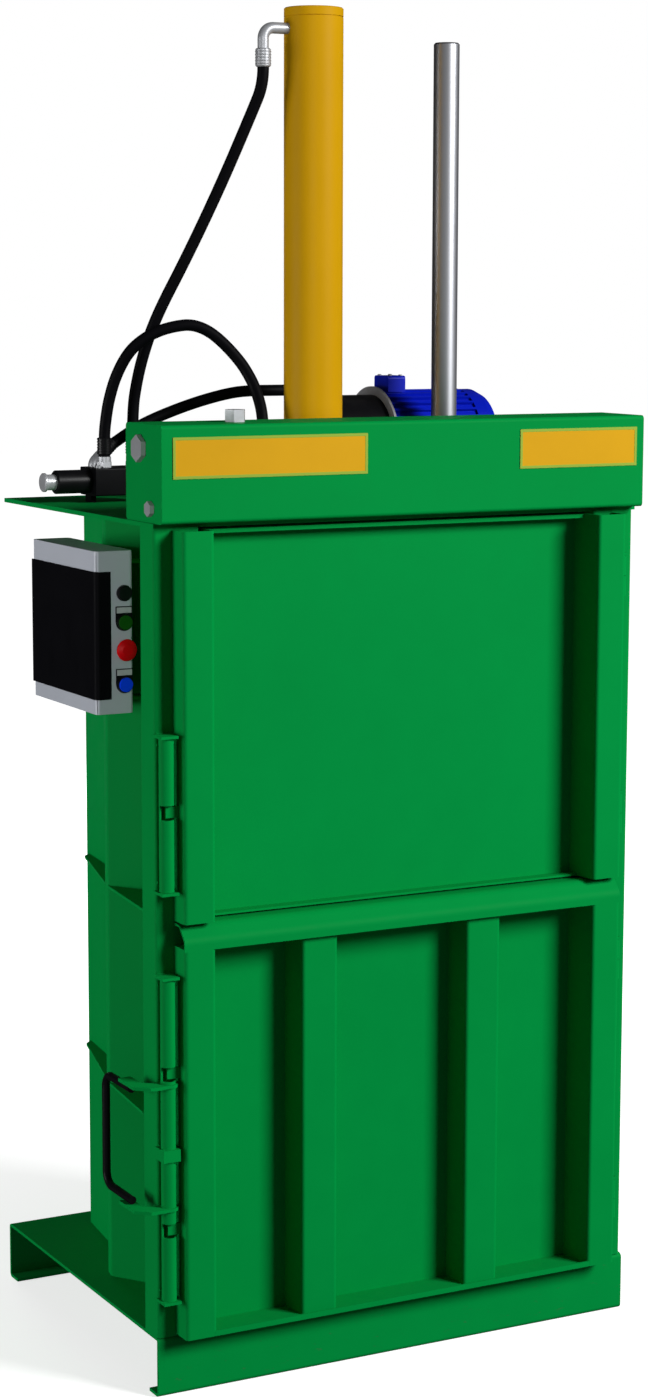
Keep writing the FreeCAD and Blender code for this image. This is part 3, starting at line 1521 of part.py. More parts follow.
for build in (
    build_base, build_posts, build_walls, build_gussets, build_top_plate, build_beam,
    build_upper_door, build_lower_door, build_hinges, build_latches, build_handle,
    build_cylinder, build_ram, build_valve, build_power_pack, build_hose_ends,
    build_control_box, build_hoses,
):
    build()

document.recompute()

for thing in document.Objects:
    if {"Invalid", "Error"} & set(thing.State):
        raise RuntimeError(f"{thing.Label} failed: {thing.State}")

os.makedirs("parts", exist_ok=True)
for thing in nodes:
    if thing.Shape.isNull() or not thing.Shape.isValid():
        raise RuntimeError(f"{thing.Label} has no valid shape")
    if not thing.Shape.Solids:
        raise RuntimeError(f"{thing.Label} has no solid")
    thing.Shape.exportStep(f"parts/{thing.Label}.step")
print(len(nodes), "pieces")
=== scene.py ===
"""Recycling baler: paint, plating, hoses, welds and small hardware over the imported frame."""

import math

import bmesh
import bpy
from bpy.props import FloatProperty, FloatVectorProperty, IntProperty, PointerProperty
from mathutils import Matrix, Vector


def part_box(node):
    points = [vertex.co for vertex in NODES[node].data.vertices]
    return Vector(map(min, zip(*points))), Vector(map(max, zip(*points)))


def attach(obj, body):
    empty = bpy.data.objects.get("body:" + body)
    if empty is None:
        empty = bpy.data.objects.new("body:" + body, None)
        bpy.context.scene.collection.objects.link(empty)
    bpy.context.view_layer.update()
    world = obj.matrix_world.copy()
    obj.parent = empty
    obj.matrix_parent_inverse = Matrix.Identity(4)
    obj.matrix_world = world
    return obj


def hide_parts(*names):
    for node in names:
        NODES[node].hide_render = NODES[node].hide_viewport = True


bl_info = {
    "name": "Recycling Baler",
    "version": (1, 0, 0),
    "blender": (4, 5, 0),
    "location": "View3D > Sidebar > Baler",
    "description": "Finishes, hoses, welds and small hardware of a vertical recycling baler",
    "category": "Object",
}

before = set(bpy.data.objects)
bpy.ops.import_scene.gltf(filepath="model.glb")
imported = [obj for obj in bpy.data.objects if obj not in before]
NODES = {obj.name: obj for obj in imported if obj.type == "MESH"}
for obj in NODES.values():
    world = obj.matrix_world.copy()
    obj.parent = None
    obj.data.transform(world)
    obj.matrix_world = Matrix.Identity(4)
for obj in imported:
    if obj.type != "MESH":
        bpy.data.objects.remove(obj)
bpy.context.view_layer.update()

MM = 0.001

# Length in metres and centreline of each hydraulic hose. The points are in millimetres
# from the base's left front corner on the floor.
BASE_CORNER = Vector((-500.0, -20.0, 0.0))
HOSE_RADIUS = 0.011
HOSE_ROUTES = {
    "cylinder_top_hose": (0.783, (
        (389, 350, 2398), (389, 350, 2366), (375, 369, 2316), (329, 406, 2184),
        (276, 445, 2050), (228, 482, 1938), (210, 503, 1867), (201, 516, 1812),
        (196, 526, 1755), (196, 526, 1671),
    )),
    "cylinder_foot_hose": (0.639, (
        (137, 526, 1671), (137, 526, 1712), (140, 523, 1746), (143, 516, 1779),
        (152, 503, 1825), (171, 486, 1870), (197, 471, 1896), (225, 459, 1911),
        (254, 449, 1919), (282, 440, 1922), (312, 431, 1911), (340, 421, 1887),
        (369, 408, 1852), (382, 396, 1825), (389, 385, 1802), (392, 373, 1778),
        (392, 362, 1756), (389, 350, 1722), (389, 350, 1690),
    )),
    "pump_hose": (0.470, (
        (142, 554, 1672), (156, 554, 1686), (182, 554, 1703), (225, 552, 1729),
        (281, 546, 1752), (342, 530, 1774), (402, 512, 1790), (442, 505, 1793),
        (484, 500, 1793), (578, 500, 1793),
    )),
}

GREEN_NODES = (
    "base_pan", "left_post", "right_post", "left_side_wall", "right_side_wall",
    "back_wall", "wall_gussets", "top_plate", "head_beam", "beam_end_plates",
    "upper_door_panel", "lower_door_panel", "lower_door_rail", "upper_door_knuckles",
    "lower_door_knuckles", "post_knuckles", "latch_brackets", "upper_latch_tube",
    "lower_latch_tube", "handle_arms", "press_plate", "cylinder_flange",
    "control_box_brackets", "upper_door_lug", "lower_door_lugs", "guide_bush", "hinge_pins",
)

# Pieces with a light of their own, most of them in the shade of the left post or the beam.
DETAIL_LIST = "Detail Light Receivers"
DETAIL_NODES = (
    "control_box", "control_box_cover", "button_bezels", "legend_plates", "black_button",
    "green_button", "red_button", "blue_button", "valve_knob", "valve_fittings",
    "hose_elbows", "hose_ferrules", "beam_bolts", "cylinder_barrel", "pack_flange",
)

# Each large light: name, place, target and the stage's value that holds its power. All
# are squares, with their sides in metres.
LIGHTS = (
    ("key_light", (4.4, -6.3, 4.9), (0.0, 0.2, 1.1), 2.9, "key_power"),
    ("fill_light", (-6.0, 1.1, 0.9), (0.0, 0.3, 1.1), 2.4, "fill_power"),
    ("rear_light", (0.4, 6.8, 1.1), (0.0, 0.3, 1.2), 2.4, "rear_power"),
    ("detail_light", (-2.9, -4.9, 2.2), (-0.48, 0.2, 1.45), 1.4, "detail_power"),
)

# Where the camera stands, and its yaw, pitch and roll in radians.
CAMERA_PLACE = (-2.5196, -4.4747, 1.9820)
CAMERA_TURN = (0.486276, 0.143196, 0.002332)

DUST_GREY = (0.30, 0.29, 0.26, 1.0)
SCUFF_GREY = (0.06, 0.06, 0.055, 1.0)
TARNISH_GREY = (0.16, 0.15, 0.14, 1.0)
NEAR_BLACK = (0.004, 0.004, 0.005)

# A screw is sunk this far into the face that it sits on.
SEAT_DEPTH = 0.0001


# ---------------------------------------------------------------- sizes and colours


def colour_value(name, description, default):
    """A colour that the user may change."""
    return FloatVectorProperty(name=name, description=description, default=default,
                               min=0.0, max=1.0, size=3, subtype="COLOR")


def length_value(name, description, default, low, high):
    """A size in metres between two limits."""
    return FloatProperty(name=name, description=description, default=default,
                         min=low, max=high, unit="LENGTH")


def share_value(name, description, default, high=1.0):
    """A part of 1."""
    return FloatProperty(name=name, description=description, default=default,
                         min=0.0, max=high, subtype="FACTOR")


def power_value(name, description, default, high=5000.0):
    """A light's power in watts."""
    return FloatProperty(name=name, description=description, default=default,
                         min=0.0, max=high, unit="POWER")


class BalerPaint(bpy.types.PropertyGroup):
    """Colours and surface of the painted, plated and moulded pieces."""

    frame_green: colour_value(
        "Frame Green", "Powder coat of the press frame and doors", (0.0, 0.27, 0.048))
    barrel_yellow: colour_value(
        "Barrel Yellow", "Gloss paint of the hydraulic cylinder", (0.50, 0.262, 0.001))
    motor_blue: colour_value(
        "Motor Blue", "Gloss paint of the motor and its cowl", (0.001, 0.010, 0.43))
    box_grey: colour_value(
        "Box Grey", "Powder coat of the control box", (0.43, 0.455, 0.51))
    plate_yellow: colour_value(
        "Plate Yellow", "Field of the two bare plates on the beam", (0.68, 0.36, 0.008))
    plate_rim: colour_value(
        "Plate Rim", "Border of the two bare plates on the beam", (0.30, 0.44, 0.05))
    mottle: share_value(
        "Mottle", "How far the powder coat's shade wanders over a sheet", 0.05, 0.5)
    dust: share_value(
        "Dust", "How much dust lies on the faces that look up", 0.01)
    peel: length_value(
        "Orange Peel", "Height of the powder coat's ripple", 0.00012, 0.0, 0.002)


class BalerHardware(bpy.types.PropertyGroup):
    """Sizes of the welds, screws, crimps, sleeves and trim."""

    bead_radius: length_value(
        "Bead Radius", "Half the width of a weld bead", 0.0025, 0.001, 0.006)
    bead_pitch: length_value(
        "Bead Pitch", "Length of one ripple of a weld bead", 0.003, 0.001, 0.01)
    screw_radius: length_value(
        "Screw Radius", "Radius of a small cover screw's head", 0.0042, 0.002, 0.01)
    cap_screw_radius: length_value(
        "Cap Screw Radius", "Radius of a valve screw's head", 0.005, 0.002, 0.01)
    crimp_ribs: IntProperty(
        name="Crimp Ribs", description="Pressed rings on each hose ferrule",
        default=5, min=1, max=12)
    crimp_height: length_value(
        "Crimp Height", "How far a pressed ring stands out", 0.0012, 0.0003, 0.003)
    rim_width: length_value(
        "Rim Width", "Width of the border of a bare plate", 0.005, 0.001, 0.01)
    sleeve_radius: length_value(
        "Sleeve Radius", "Radius of the pressed sleeve on a hose's low end",
        0.0138, 0.0112, 0.02)
    sleeve_length: length_value(
        "Sleeve Length", "Length of the pressed sleeve on a hose's low end",
        0.032, 0.01, 0.06)
    insert_height: length_value(
        "Insert Height", "Height of the pale insert in a legend plate",
        0.0105, 0.004, 0.015)


class BalerStage(bpy.types.PropertyGroup):
    """Camera, lights and floor."""

    lens: FloatProperty(
        name="Lens", description="Focal length of the camera",
        default=72.63, min=20.0, max=200.0, unit="CAMERA")
    key_power: power_value(
        "Key Power", "Power of the large light at the front right", 880.0)
    fill_power: power_value(
        "Fill Power", "Power of the soft light at the left", 200.0)
    rear_power: power_value(
        "Rear Power", "Power of the light behind the machine", 140.0)
    detail_power: power_value(
        "Detail Power", "Power of the light on the box, valve and bolts", 100.0, 2000.0)
    ambient: FloatProperty(
        name="Ambient", description="Soft light that reaches the machine from all round",
        default=0.11, min=0.0, max=3.0)
    backdrop: FloatProperty(
        name="Backdrop", description="Brightness of the white room behind the machine",
        default=1.0, min=0.0, max=3.0)


# ---------------------------------------------------------------- shader building


def new_group(name, inputs, outputs):
    """A shader node group with named sockets; returns the tree, its input and its output."""
    tree = bpy.data.node_groups.new(name, "ShaderNodeTree")
    for label, kind, default in inputs:
        socket = tree.interface.new_socket(label, in_out="INPUT", socket_type=kind)
        socket.default_value = default
    for label, kind in outputs:
        tree.interface.new_socket(label, in_out="OUTPUT", socket_type=kind)
    return tree, tree.nodes.new("NodeGroupInput"), tree.nodes.new("NodeGroupOutput")


def feed(tree, socket, term):
    """Link another node's socket to this one, or give this one a plain value."""
    if isinstance(term, bpy.types.NodeSocket):
        tree.links.new(term, socket)
    else:
        socket.default_value = term


def add(tree, kind, inputs=None, **settings):
    """A node with its properties set and its inputs linked or given a value."""
    item = tree.nodes.new(kind)
    for name, setting in settings.items():
        setattr(item, name, setting)
    for label, term in (inputs or {}).items():
        feed(tree, item.inputs[label], term)
    return item


def noise(tree, vector, scale, detail=2.0, rough=0.5):
    """A noise texture's value on the given vector."""
    return add(tree, "ShaderNodeTexNoise", {
        "Vector": vector, "Scale": scale, "Detail": detail, "Roughness": rough,
    }).outputs["Fac"]


def spread(tree, source, low, high, to_low, to_high, smooth=True):
    """The source mapped from one range to another and held inside it."""
    return add(tree, "ShaderNodeMapRange", {
        "Value": source, "From Min": low, "From Max": high,
        "To Min": to_low, "To Max": to_high,
    }, clamp=True, interpolation_type="SMOOTHSTEP" if smooth else "LINEAR").outputs["Result"]


def maths(tree, operation, first, second):
    """A sum, product or other operation on two numbers or sockets."""
    return add(tree, "ShaderNodeMath", {0: first, 1: second},
               operation=operation).outputs["Value"]


def mixed(tree, factor, first, second):
    """Two colours mixed by a factor."""
    return add(tree, "ShaderNodeMix", {"Factor": factor, 6: first, 7: second},
               data_type="RGBA").outputs[2]


def mixed_level(tree, factor, first, second):
    """Two numbers mixed by a factor."""
    return add(tree, "ShaderNodeMix", {"Factor": factor, 2: first, 3: second},
               data_type="FLOAT").outputs[0]


def shaded(tree, colour, factor):
    """A colour made lighter or darker by a factor round 1."""
    return add(tree, "ShaderNodeHueSaturation",
               {"Value": factor, "Color": colour}).outputs["Color"]


def object_place(tree):
    """The point that is shaded, in the object's own coordinates."""
    return add(tree, "ShaderNodeTexCoord").outputs["Object"]


def skin_group(name, inputs):
    """A shared effect that puts out a colour, a roughness and a height."""
    return new_group(name, inputs, (
        ("Colour", "NodeSocketColor"), ("Roughness", "NodeSocketFloat"),
        ("Height", "NodeSocketFloat")))


def put_out(tree, outlet, colour, rough, height):
    """End a shared effect with what it puts out."""
    for label, source in (("Colour", colour), ("Roughness", rough), ("Height", height)):
        feed(tree, outlet.inputs[label], source)


def coat_group():
    """Powder coat and gloss paint: shade, ripple, dust on top and scuffs near the ground."""
    tree, inlet, outlet = skin_group("Paint Coat", (
        ("Colour", "NodeSocketColor", (0.5, 0.5, 0.5, 1.0)),
        ("Mottle", "NodeSocketFloat", 0.05),
        ("Dust", "NodeSocketFloat", 0.1),
        ("Scuff", "NodeSocketFloat", 0.3),
        ("Roughness", "NodeSocketFloat", 0.4),
        ("Ripple Scale", "NodeSocketFloat", 260.0),
    ))
    where = object_place(tree)
    broad = noise(tree, where, 2.2, 3.0, 0.55)
    cloud = noise(tree, where, 17.0, 4.0, 0.6)
    wander = maths(tree, "ADD", maths(tree, "MULTIPLY", broad, 0.7),
                   maths(tree, "MULTIPLY", cloud, 0.3))
    low = maths(tree, "SUBTRACT", 1.0, inlet.outputs["Mottle"])
    high = maths(tree, "ADD", 1.0, inlet.outputs["Mottle"])
    shade = spread(tree, wander, 0.3, 0.7, low, high, smooth=False)
    colour = shaded(tree, inlet.outputs["Colour"], shade)
    facing = add(tree, "ShaderNodeSeparateXYZ", {
        "Vector": add(tree, "ShaderNodeNewGeometry").outputs["Normal"]})
    up = spread(tree, facing.outputs["Z"], 0.7, 1.0, 0.0, 1.0)
    grit = spread(tree, noise(tree, where, 46.0, 5.0, 0.7), 0.35, 0.75, 0.2, 1.0)
    dusty = maths(tree, "MULTIPLY", maths(tree, "MULTIPLY", up, grit),
                  inlet.outputs["Dust"])
    colour = mixed(tree, dusty, colour, DUST_GREY)
    place = add(tree, "ShaderNodeSeparateXYZ", {"Vector": where})
    ground = spread(tree, place.outputs["Z"], 0.0, 0.16, 1.0, 0.0)
    stretch = add(tree, "ShaderNodeMapping", {"Scale": (1.0, 1.0, 4.0), "Vector": where})
    marks = spread(tree, noise(tree, stretch.outputs["Vector"], 38.0, 6.0, 0.75),
                   0.62, 0.7, 0.0, 1.0)
    scuffed = maths(tree, "MULTIPLY", maths(tree, "MULTIPLY", ground, marks),
                    inlet.outputs["Scuff"])
    colour = mixed(tree, scuffed, colour, SCUFF_GREY)
    uneven = spread(tree, cloud, 0.3, 0.7, -0.05, 0.05, smooth=False)
    rough = maths(tree, "ADD", maths(tree, "ADD", inlet.outputs["Roughness"], uneven),
                  maths(tree, "MULTIPLY", maths(tree, "ADD", dusty, scuffed), 0.4))
    put_out(tree, outlet, colour, rough,
            noise(tree, where, inlet.outputs["Ripple Scale"], 1.0, 0.4))
    return tree


def metal_group():
    """Drawn or plated steel: fine lines along one axis, blotches and a light tarnish."""
    tree, inlet, outlet = skin_group("Bare Metal", (
        ("Colour", "NodeSocketColor", (0.6, 0.6, 0.6, 1.0)),
        ("Line Scale", "NodeSocketVector", (400.0, 400.0, 4.0)),
        ("Line Strength", "NodeSocketFloat", 0.1),
        ("Tarnish", "NodeSocketFloat", 0.1),
        ("Roughness", "NodeSocketFloat", 0.25),
    ))
    where = object_place(tree)
    lined = add(tree, "ShaderNodeVectorMath",
                {0: where, 1: inlet.outputs["Line Scale"]}, operation="MULTIPLY")
    lines = noise(tree, lined.outputs["Vector"], 1.0, 3.0, 0.6)
    blotch = noise(tree, where, 31.0, 4.0, 0.6)
    stained = maths(tree, "MULTIPLY", spread(tree, blotch, 0.45, 0.75, 0.0, 1.0),
                    inlet.outputs["Tarnish"])
    shift = maths(tree, "MULTIPLY", maths(tree, "SUBTRACT", lines, 0.5),
                  inlet.outputs["Line Strength"])
    colour = shaded(tree, inlet.outputs["Colour"], maths(tree, "ADD", shift, 1.0))
    rough = maths(tree, "ADD", inlet.outputs["Roughness"],
                  maths(tree, "ADD", maths(tree, "MULTIPLY", stained, 0.5),
                        maths(tree, "MULTIPLY", shift, 0.8)))
    put_out(tree, outlet, mixed(tree, stained, colour, TARNISH_GREY), rough, lines)
    return tree


def moulded_group():
    """Moulded plastic and rubber: an even grain, faint flow marks and handled patches."""
    tree, inlet, outlet = skin_group("Moulded Skin", (
        ("Colour", "NodeSocketColor", (0.1, 0.1, 0.1, 1.0)),
        ("Grain Scale", "NodeSocketFloat", 900.0),
        ("Variation", "NodeSocketFloat", 0.08),
        ("Roughness", "NodeSocketFloat", 0.45),
    ))
    where = object_place(tree)
    patch = noise(tree, where, 24.0, 3.0, 0.5)
    low = maths(tree, "SUBTRACT", 1.0, inlet.outputs["Variation"])
    high = maths(tree, "ADD", 1.0, inlet.outputs["Variation"])
    colour = shaded(tree, inlet.outputs["Colour"],
                    spread(tree, patch, 0.3, 0.7, low, high, smooth=False))
    rough = maths(tree, "ADD", inlet.outputs["Roughness"],
                  spread(tree, patch, 0.3, 0.7, -0.06, 0.06, smooth=False))
    put_out(tree, outlet, colour, rough,
            noise(tree, where, inlet.outputs["Grain Scale"], 2.0, 0.6))
    return tree


def finish_material(name, effect, values, bump, shader_values):
    """A material: one shared effect feeding a Principled shader and its bump."""
    if name in bpy.data.materials:
        return bpy.data.materials[name]
    material = bpy.data.materials.new(name)
    material.use_nodes = True
    tree = material.node_tree
    tree.nodes.clear()
    skin = add(tree, "ShaderNodeGroup", node_tree=tree_named(effect))
    for label, setting in values.items():
        skin.inputs[label].default_value = setting
    strength, height = bump
    relief = add(tree, "ShaderNodeBump", {
        "Strength": strength, "Distance": height, "Height": skin.outputs["Height"]})
    shader = add(tree, "ShaderNodeBsdfPrincipled", {
        **shader_values, "Base Color": skin.outputs["Colour"],
        "Roughness": skin.outputs["Roughness"], "Normal": relief.outputs["Normal"]})
    add(tree, "ShaderNodeOutputMaterial", {"Surface": shader.outputs["BSDF"]})
    return material


def rgba(colour):
    """A colour with full opacity."""
    return (*colour, 1.0)


def green_coat():
    """The powder coat of the press frame, doors and latches."""
    paint = bpy.context.scene.baler_paint
    return finish_material(
        "Green Powder Coat", "Paint Coat",
        {"Colour": rgba(paint.frame_green), "Mottle": paint.mottle, "Dust": paint.dust,
         "Scuff": 0.5, "Roughness": 0.55, "Ripple Scale": 300.0},
        (0.6, paint.peel), {"Specular IOR Level": 0.02})


def gloss_coat(name, colour, roughness, specular=0.4, dust=0.03):
    """Gloss or satin paint."""
    paint = bpy.context.scene.baler_paint
    return finish_material(
        name, "Paint Coat",
        {"Colour": rgba(colour), "Mottle": paint.mottle, "Dust": dust, "Scuff": 0.0,
         "Roughness": roughness, "Ripple Scale": 220.0},
        (0.5, paint.peel), {"Specular IOR Level": specular})


def steel(name, colour, roughness, lines, strength, tarnish, metallic=1.0):
    """Bare or plated metal."""
    return finish_material(
        name, "Bare Metal",
        {"Colour": rgba(colour), "Line Scale": lines, "Line Strength": strength,
         "Tarnish": tarnish, "Roughness": roughness},
        (0.25, 0.00002), {"Metallic": metallic})


def moulded(name, colour, roughness, grain=900.0, specular=0.4):
    """Moulded plastic or rubber."""
    return finish_material(
        name, "Moulded Skin",
        {"Colour": rgba(colour), "Grain Scale": grain, "Variation": 0.08,
         "Roughness": roughness},
        (0.4, 0.00006), {"Specular IOR Level": specular})


def zinc():
    """The zinc plate of bolts, screws, elbows and fittings."""
    return steel("Zinc Plate", (0.36, 0.37, 0.39), 0.4, (90.0, 90.0, 90.0), 0.12, 0.25, 0.45)


def dress(material, *nodes):
    """Give every face of some CAD nodes one finish."""
    for node in nodes:
        piece = NODES[node]
        if not piece.material_slots:
            piece.data.materials.append(material)
        for slot in piece.material_slots:
            slot.material = material


# ---------------------------------------------------------------- mesh building


def islands(node):
    """The separate solids of a CAD node as (lowest, highest) corners, sorted by place."""
    mesh = bmesh.new()
    mesh.from_mesh(NODES[node].data)
    bmesh.ops.remove_doubles(mesh, verts=mesh.verts, dist=0.00002)
    waiting = set(mesh.verts)
    boxes = []
    while waiting:
        stack = [waiting.pop()]
        members = []
        while stack:
            vertex = stack.pop()
            members.append(vertex.co.copy())
            for edge in vertex.link_edges:
                other = edge.other_vert(vertex)
                if other in waiting:
                    waiting.remove(other)
                    stack.append(other)
        low = Vector(map(min, zip(*members)))
        high = Vector(map(max, zip(*members)))
        boxes.append((low, high))
    mesh.free()
    return sorted(boxes, key=lambda pair: tuple(round(c, 4) for c in pair[0]))


def mesh_object(name, mesh):
    """A bmesh turned into an object of the scene."""
    data = bpy.data.meshes.new(name)
    mesh.to_mesh(data)
    mesh.free()
    return scene_object(name, data)


def scene_object(name, data):
    """A mesh, curve, light or camera put into the scene as an object."""
    piece = bpy.data.objects.new(name, data)
    bpy.context.scene.collection.objects.link(piece)
    return piece


def join_rings(mesh, rings, capped=True):
    """Faces through rings of equal count, filled at both ends or joined end to start."""
    rows = [[mesh.verts.new(point) for point in ring] for ring in rings]
    for lower, upper in zip(rows, rows[1:] if capped else rows[1:] + rows[:1]):
        for index in range(len(lower)):
            after = (index + 1) % len(lower)
            mesh.faces.new((lower[index], lower[after], upper[after], upper[index]))
    if capped:
        mesh.faces.new(reversed(rows[0]))
        mesh.faces.new(rows[-1])


def ringed(sets, name, capped=True):
    """An object made of closed skins, each through one set of rings."""
    mesh = bmesh.new()
    for rings in sets:
        join_rings(mesh, rings, capped)
    bmesh.ops.recalc_face_normals(mesh, faces=mesh.faces)
    return mesh_object(name, mesh)


def front_ring(sides, inset, depth):
    """A rectangle that faces the front, drawn in by an inset, at a depth."""
    left, right, bottom, top = sides
    return [(left + inset, depth, bottom + inset), (right - inset, depth, bottom + inset),
            (right - inset, depth, top - inset), (left + inset, depth, top - inset)]


def circle_ring(radius, height, count):
    """A ring of points on a circle round the Z axis."""
    return [(radius * math.cos(2 * math.pi * step / count),
             radius * math.sin(2 * math.pi * step / count), height)
            for step in range(count)]


def socket_ring(radius, height, count):
    """A ring on a hexagon's outline, for a screw's hex socket."""
    ring = []
    for step in range(count):
        angle = 2 * math.pi * step / count
        part = (angle + math.pi / 6) % (math.pi / 3) - math.pi / 6
        reach = radius * math.cos(math.pi / 6) / math.cos(part)
        ring.append((reach * math.cos(angle), reach * math.sin(angle), height))
    return ring


def cross_ring(arm, half_width, height, count):
    """A ring on a cross's outline, for a screw's cross recess."""
    ring = []
    limit = math.atan2(half_width, arm)
    for step in range(count):
        angle = 2 * math.pi * step / count
        part = abs((angle + math.pi / 4) % (math.pi / 2) - math.pi / 4)
        if part < limit:
            reach = arm / math.cos(part)
        else:
            reach = half_width / math.sin(part)
        ring.append((reach * math.cos(angle), reach * math.sin(angle), height))
    return ring


def cap_screw(radius):
    """A socket-head cap screw's head, standing on the XY plane."""
    count = 24
    tall = 1.1 * radius
    return ringed([[
        circle_ring(radius, 0.0, count), circle_ring(radius, tall * 0.86, count),
        circle_ring(radius * 0.88, tall, count), socket_ring(radius * 0.56, tall, count),
        socket_ring(radius * 0.54, tall * 0.45, count),
    ]], "cap_screw_head")


def pan_screw(radius):
    """A pan-head screw with a cross recess, standing on the XY plane."""
    count = 32
    tall = 0.55 * radius
    return ringed([[
        circle_ring(radius, 0.0, count), circle_ring(radius * 0.99, tall * 0.45, count),
        circle_ring(radius * 0.86, tall * 0.82, count), circle_ring(radius * 0.66, tall, count),
        cross_ring(radius * 0.5, radius * 0.12, tall, count),
        cross_ring(radius * 0.4, radius * 0.09, tall * 0.35, count),
    ]], "pan_screw_head")


def crimp_sleeve(radius, length):
    """A hose's pressed sleeve with grooves round it, standing on the XY plane."""
    count = 32
    rings = [circle_ring(radius * 0.9, 0.0, count), circle_ring(radius, 0.05 * length, count)]
    grooves = 5
    for groove in range(grooves):
        middle = length * (0.16 + 0.68 * groove / (grooves - 1))
        for offset, part in ((-0.05, 1.0), (-0.03, 0.94), (0.03, 0.94), (0.05, 1.0)):
            rings.append(circle_ring(radius * part, middle + offset * length, count))
    rings += [circle_ring(radius, 0.95 * length, count), circle_ring(radius * 0.9, length, count)]
    return ringed([rings], "crimp_sleeve")


# ---------------------------------------------------------------- geometry nodes


def geometry_tree(name, inputs):
    """A geometry tree with a geometry in and out and named inputs."""
    tree = bpy.data.node_groups.new(name, "GeometryNodeTree")
    tree.interface.new_socket("Geometry", in_out="INPUT", socket_type="NodeSocketGeometry")
    for label, kind, default in inputs:
        socket = tree.interface.new_socket(label, in_out="INPUT", socket_type=kind)
        if default is not None:
            socket.default_value = default
    tree.interface.new_socket("Geometry", in_out="OUTPUT", socket_type="NodeSocketGeometry")
    return tree, tree.nodes.new("NodeGroupInput"), tree.nodes.new("NodeGroupOutput")


def finish_tree(tree, inlet, outlet, geometry):
    """End a tree: its instances made real, in the finish that its input names."""
    real = add(tree, "GeometryNodeRealizeInstances", {"Geometry": geometry})
    finish = add(tree, "GeometryNodeSetMaterial", {
        "Geometry": real.outputs["Geometry"], "Material": inlet.outputs["Finish"]})
    feed(tree, outlet.inputs["Geometry"], finish.outputs["Geometry"])
    return tree


def chance(tree, low, high, seed):
    """A random number for each element."""
    return add(tree, "FunctionNodeRandomValue", {2: low, 3: high, "Seed": seed},
               data_type="FLOAT").outputs[1]


def hoop(tree, resolution, radius):
    """A circle as a curve."""
    return add(tree, "GeometryNodeCurvePrimitiveCircle",
               {"Resolution": resolution, "Radius": radius}, mode="RADIUS").outputs["Curve"]


def seated_tree():
    """Copies of one small part on points, each turned to its point's facing."""
    tree, inlet, outlet = geometry_tree("Seated Hardware", (
        ("Part", "NodeSocketObject", None),
        ("Turn Seed", "NodeSocketInt", 7),
        ("Finish", "NodeSocketMaterial", None),
    ))
    part = add(tree, "GeometryNodeObjectInfo", {"Object": inlet.outputs["Part"]},
               transform_space="ORIGINAL")
    facing = add(tree, "GeometryNodeInputNamedAttribute", {"Name": "facing"},
                 data_type="FLOAT_VECTOR")
    aim = add(tree, "FunctionNodeAlignRotationToVector",
              {"Vector": facing.outputs["Attribute"]}, axis="Z")
    spin = add(tree, "ShaderNodeCombineXYZ", {
        "Z": chance(tree, 0.0, 2 * math.pi, inlet.outputs["Turn Seed"])})
    turn = add(tree, "FunctionNodeEulerToRotation", {"Euler": spin.outputs["Vector"]})
    turned = add(tree, "FunctionNodeRotateRotation", {
        "Rotation": aim.outputs["Rotation"], "Rotate By": turn.outputs["Rotation"],
    }, rotation_space="LOCAL")
    seat = add(tree, "GeometryNodeInstanceOnPoints", {
        "Points": inlet.outputs["Geometry"], "Instance": part.outputs["Geometry"],
        "Rotation": turned.outputs["Rotation"]})
    return finish_tree(tree, inlet, outlet, seat.outputs["Instances"])


def bead_tree():
    """A rippled weld bead along each edge of the input mesh."""
    tree, inlet, outlet = geometry_tree("Weld Bead", (
        ("Bead Radius", "NodeSocketFloat", 0.0025),
        ("Ripple Pitch", "NodeSocketFloat", 0.003),
        ("Ripple Depth", "NodeSocketFloat", 0.0004),
        ("Seed", "NodeSocketInt", 3),
        ("Finish", "NodeSocketMaterial", None),
    ))
    depth = inlet.outputs["Ripple Depth"]
    seam = add(tree, "GeometryNodeMeshToCurve", {"Mesh": inlet.outputs["Geometry"]})
    steps = add(tree, "GeometryNodeResampleCurve", {
        "Curve": seam.outputs["Curve"],
        "Length": maths(tree, "MULTIPLY", inlet.outputs["Ripple Pitch"], 0.5),
    }, mode="LENGTH")
    odd = maths(tree, "MODULO", add(tree, "GeometryNodeInputIndex").outputs["Index"], 2.0)
    dip = maths(tree, "MULTIPLY", odd, depth)
    wobble = maths(tree, "MULTIPLY", chance(tree, -0.4, 0.4, inlet.outputs["Seed"]), depth)
    wide = maths(tree, "SUBTRACT", inlet.outputs["Bead Radius"], dip)
    sized = add(tree, "GeometryNodeSetCurveRadius", {
        "Curve": steps.outputs["Curve"], "Radius": maths(tree, "ADD", wide, wobble)})
    swept = add(tree, "GeometryNodeCurveToMesh", {
        "Curve": sized.outputs["Curve"], "Profile Curve": hoop(tree, 10, 1.0),
        "Scale": add(tree, "GeometryNodeInputRadius").outputs["Radius"],
        "Fill Caps": True})
    smooth = add(tree, "GeometryNodeSetShadeSmooth", {"Geometry": swept.outputs["Mesh"]})
    return finish_tree(tree, inlet, outlet, smooth.outputs["Geometry"])


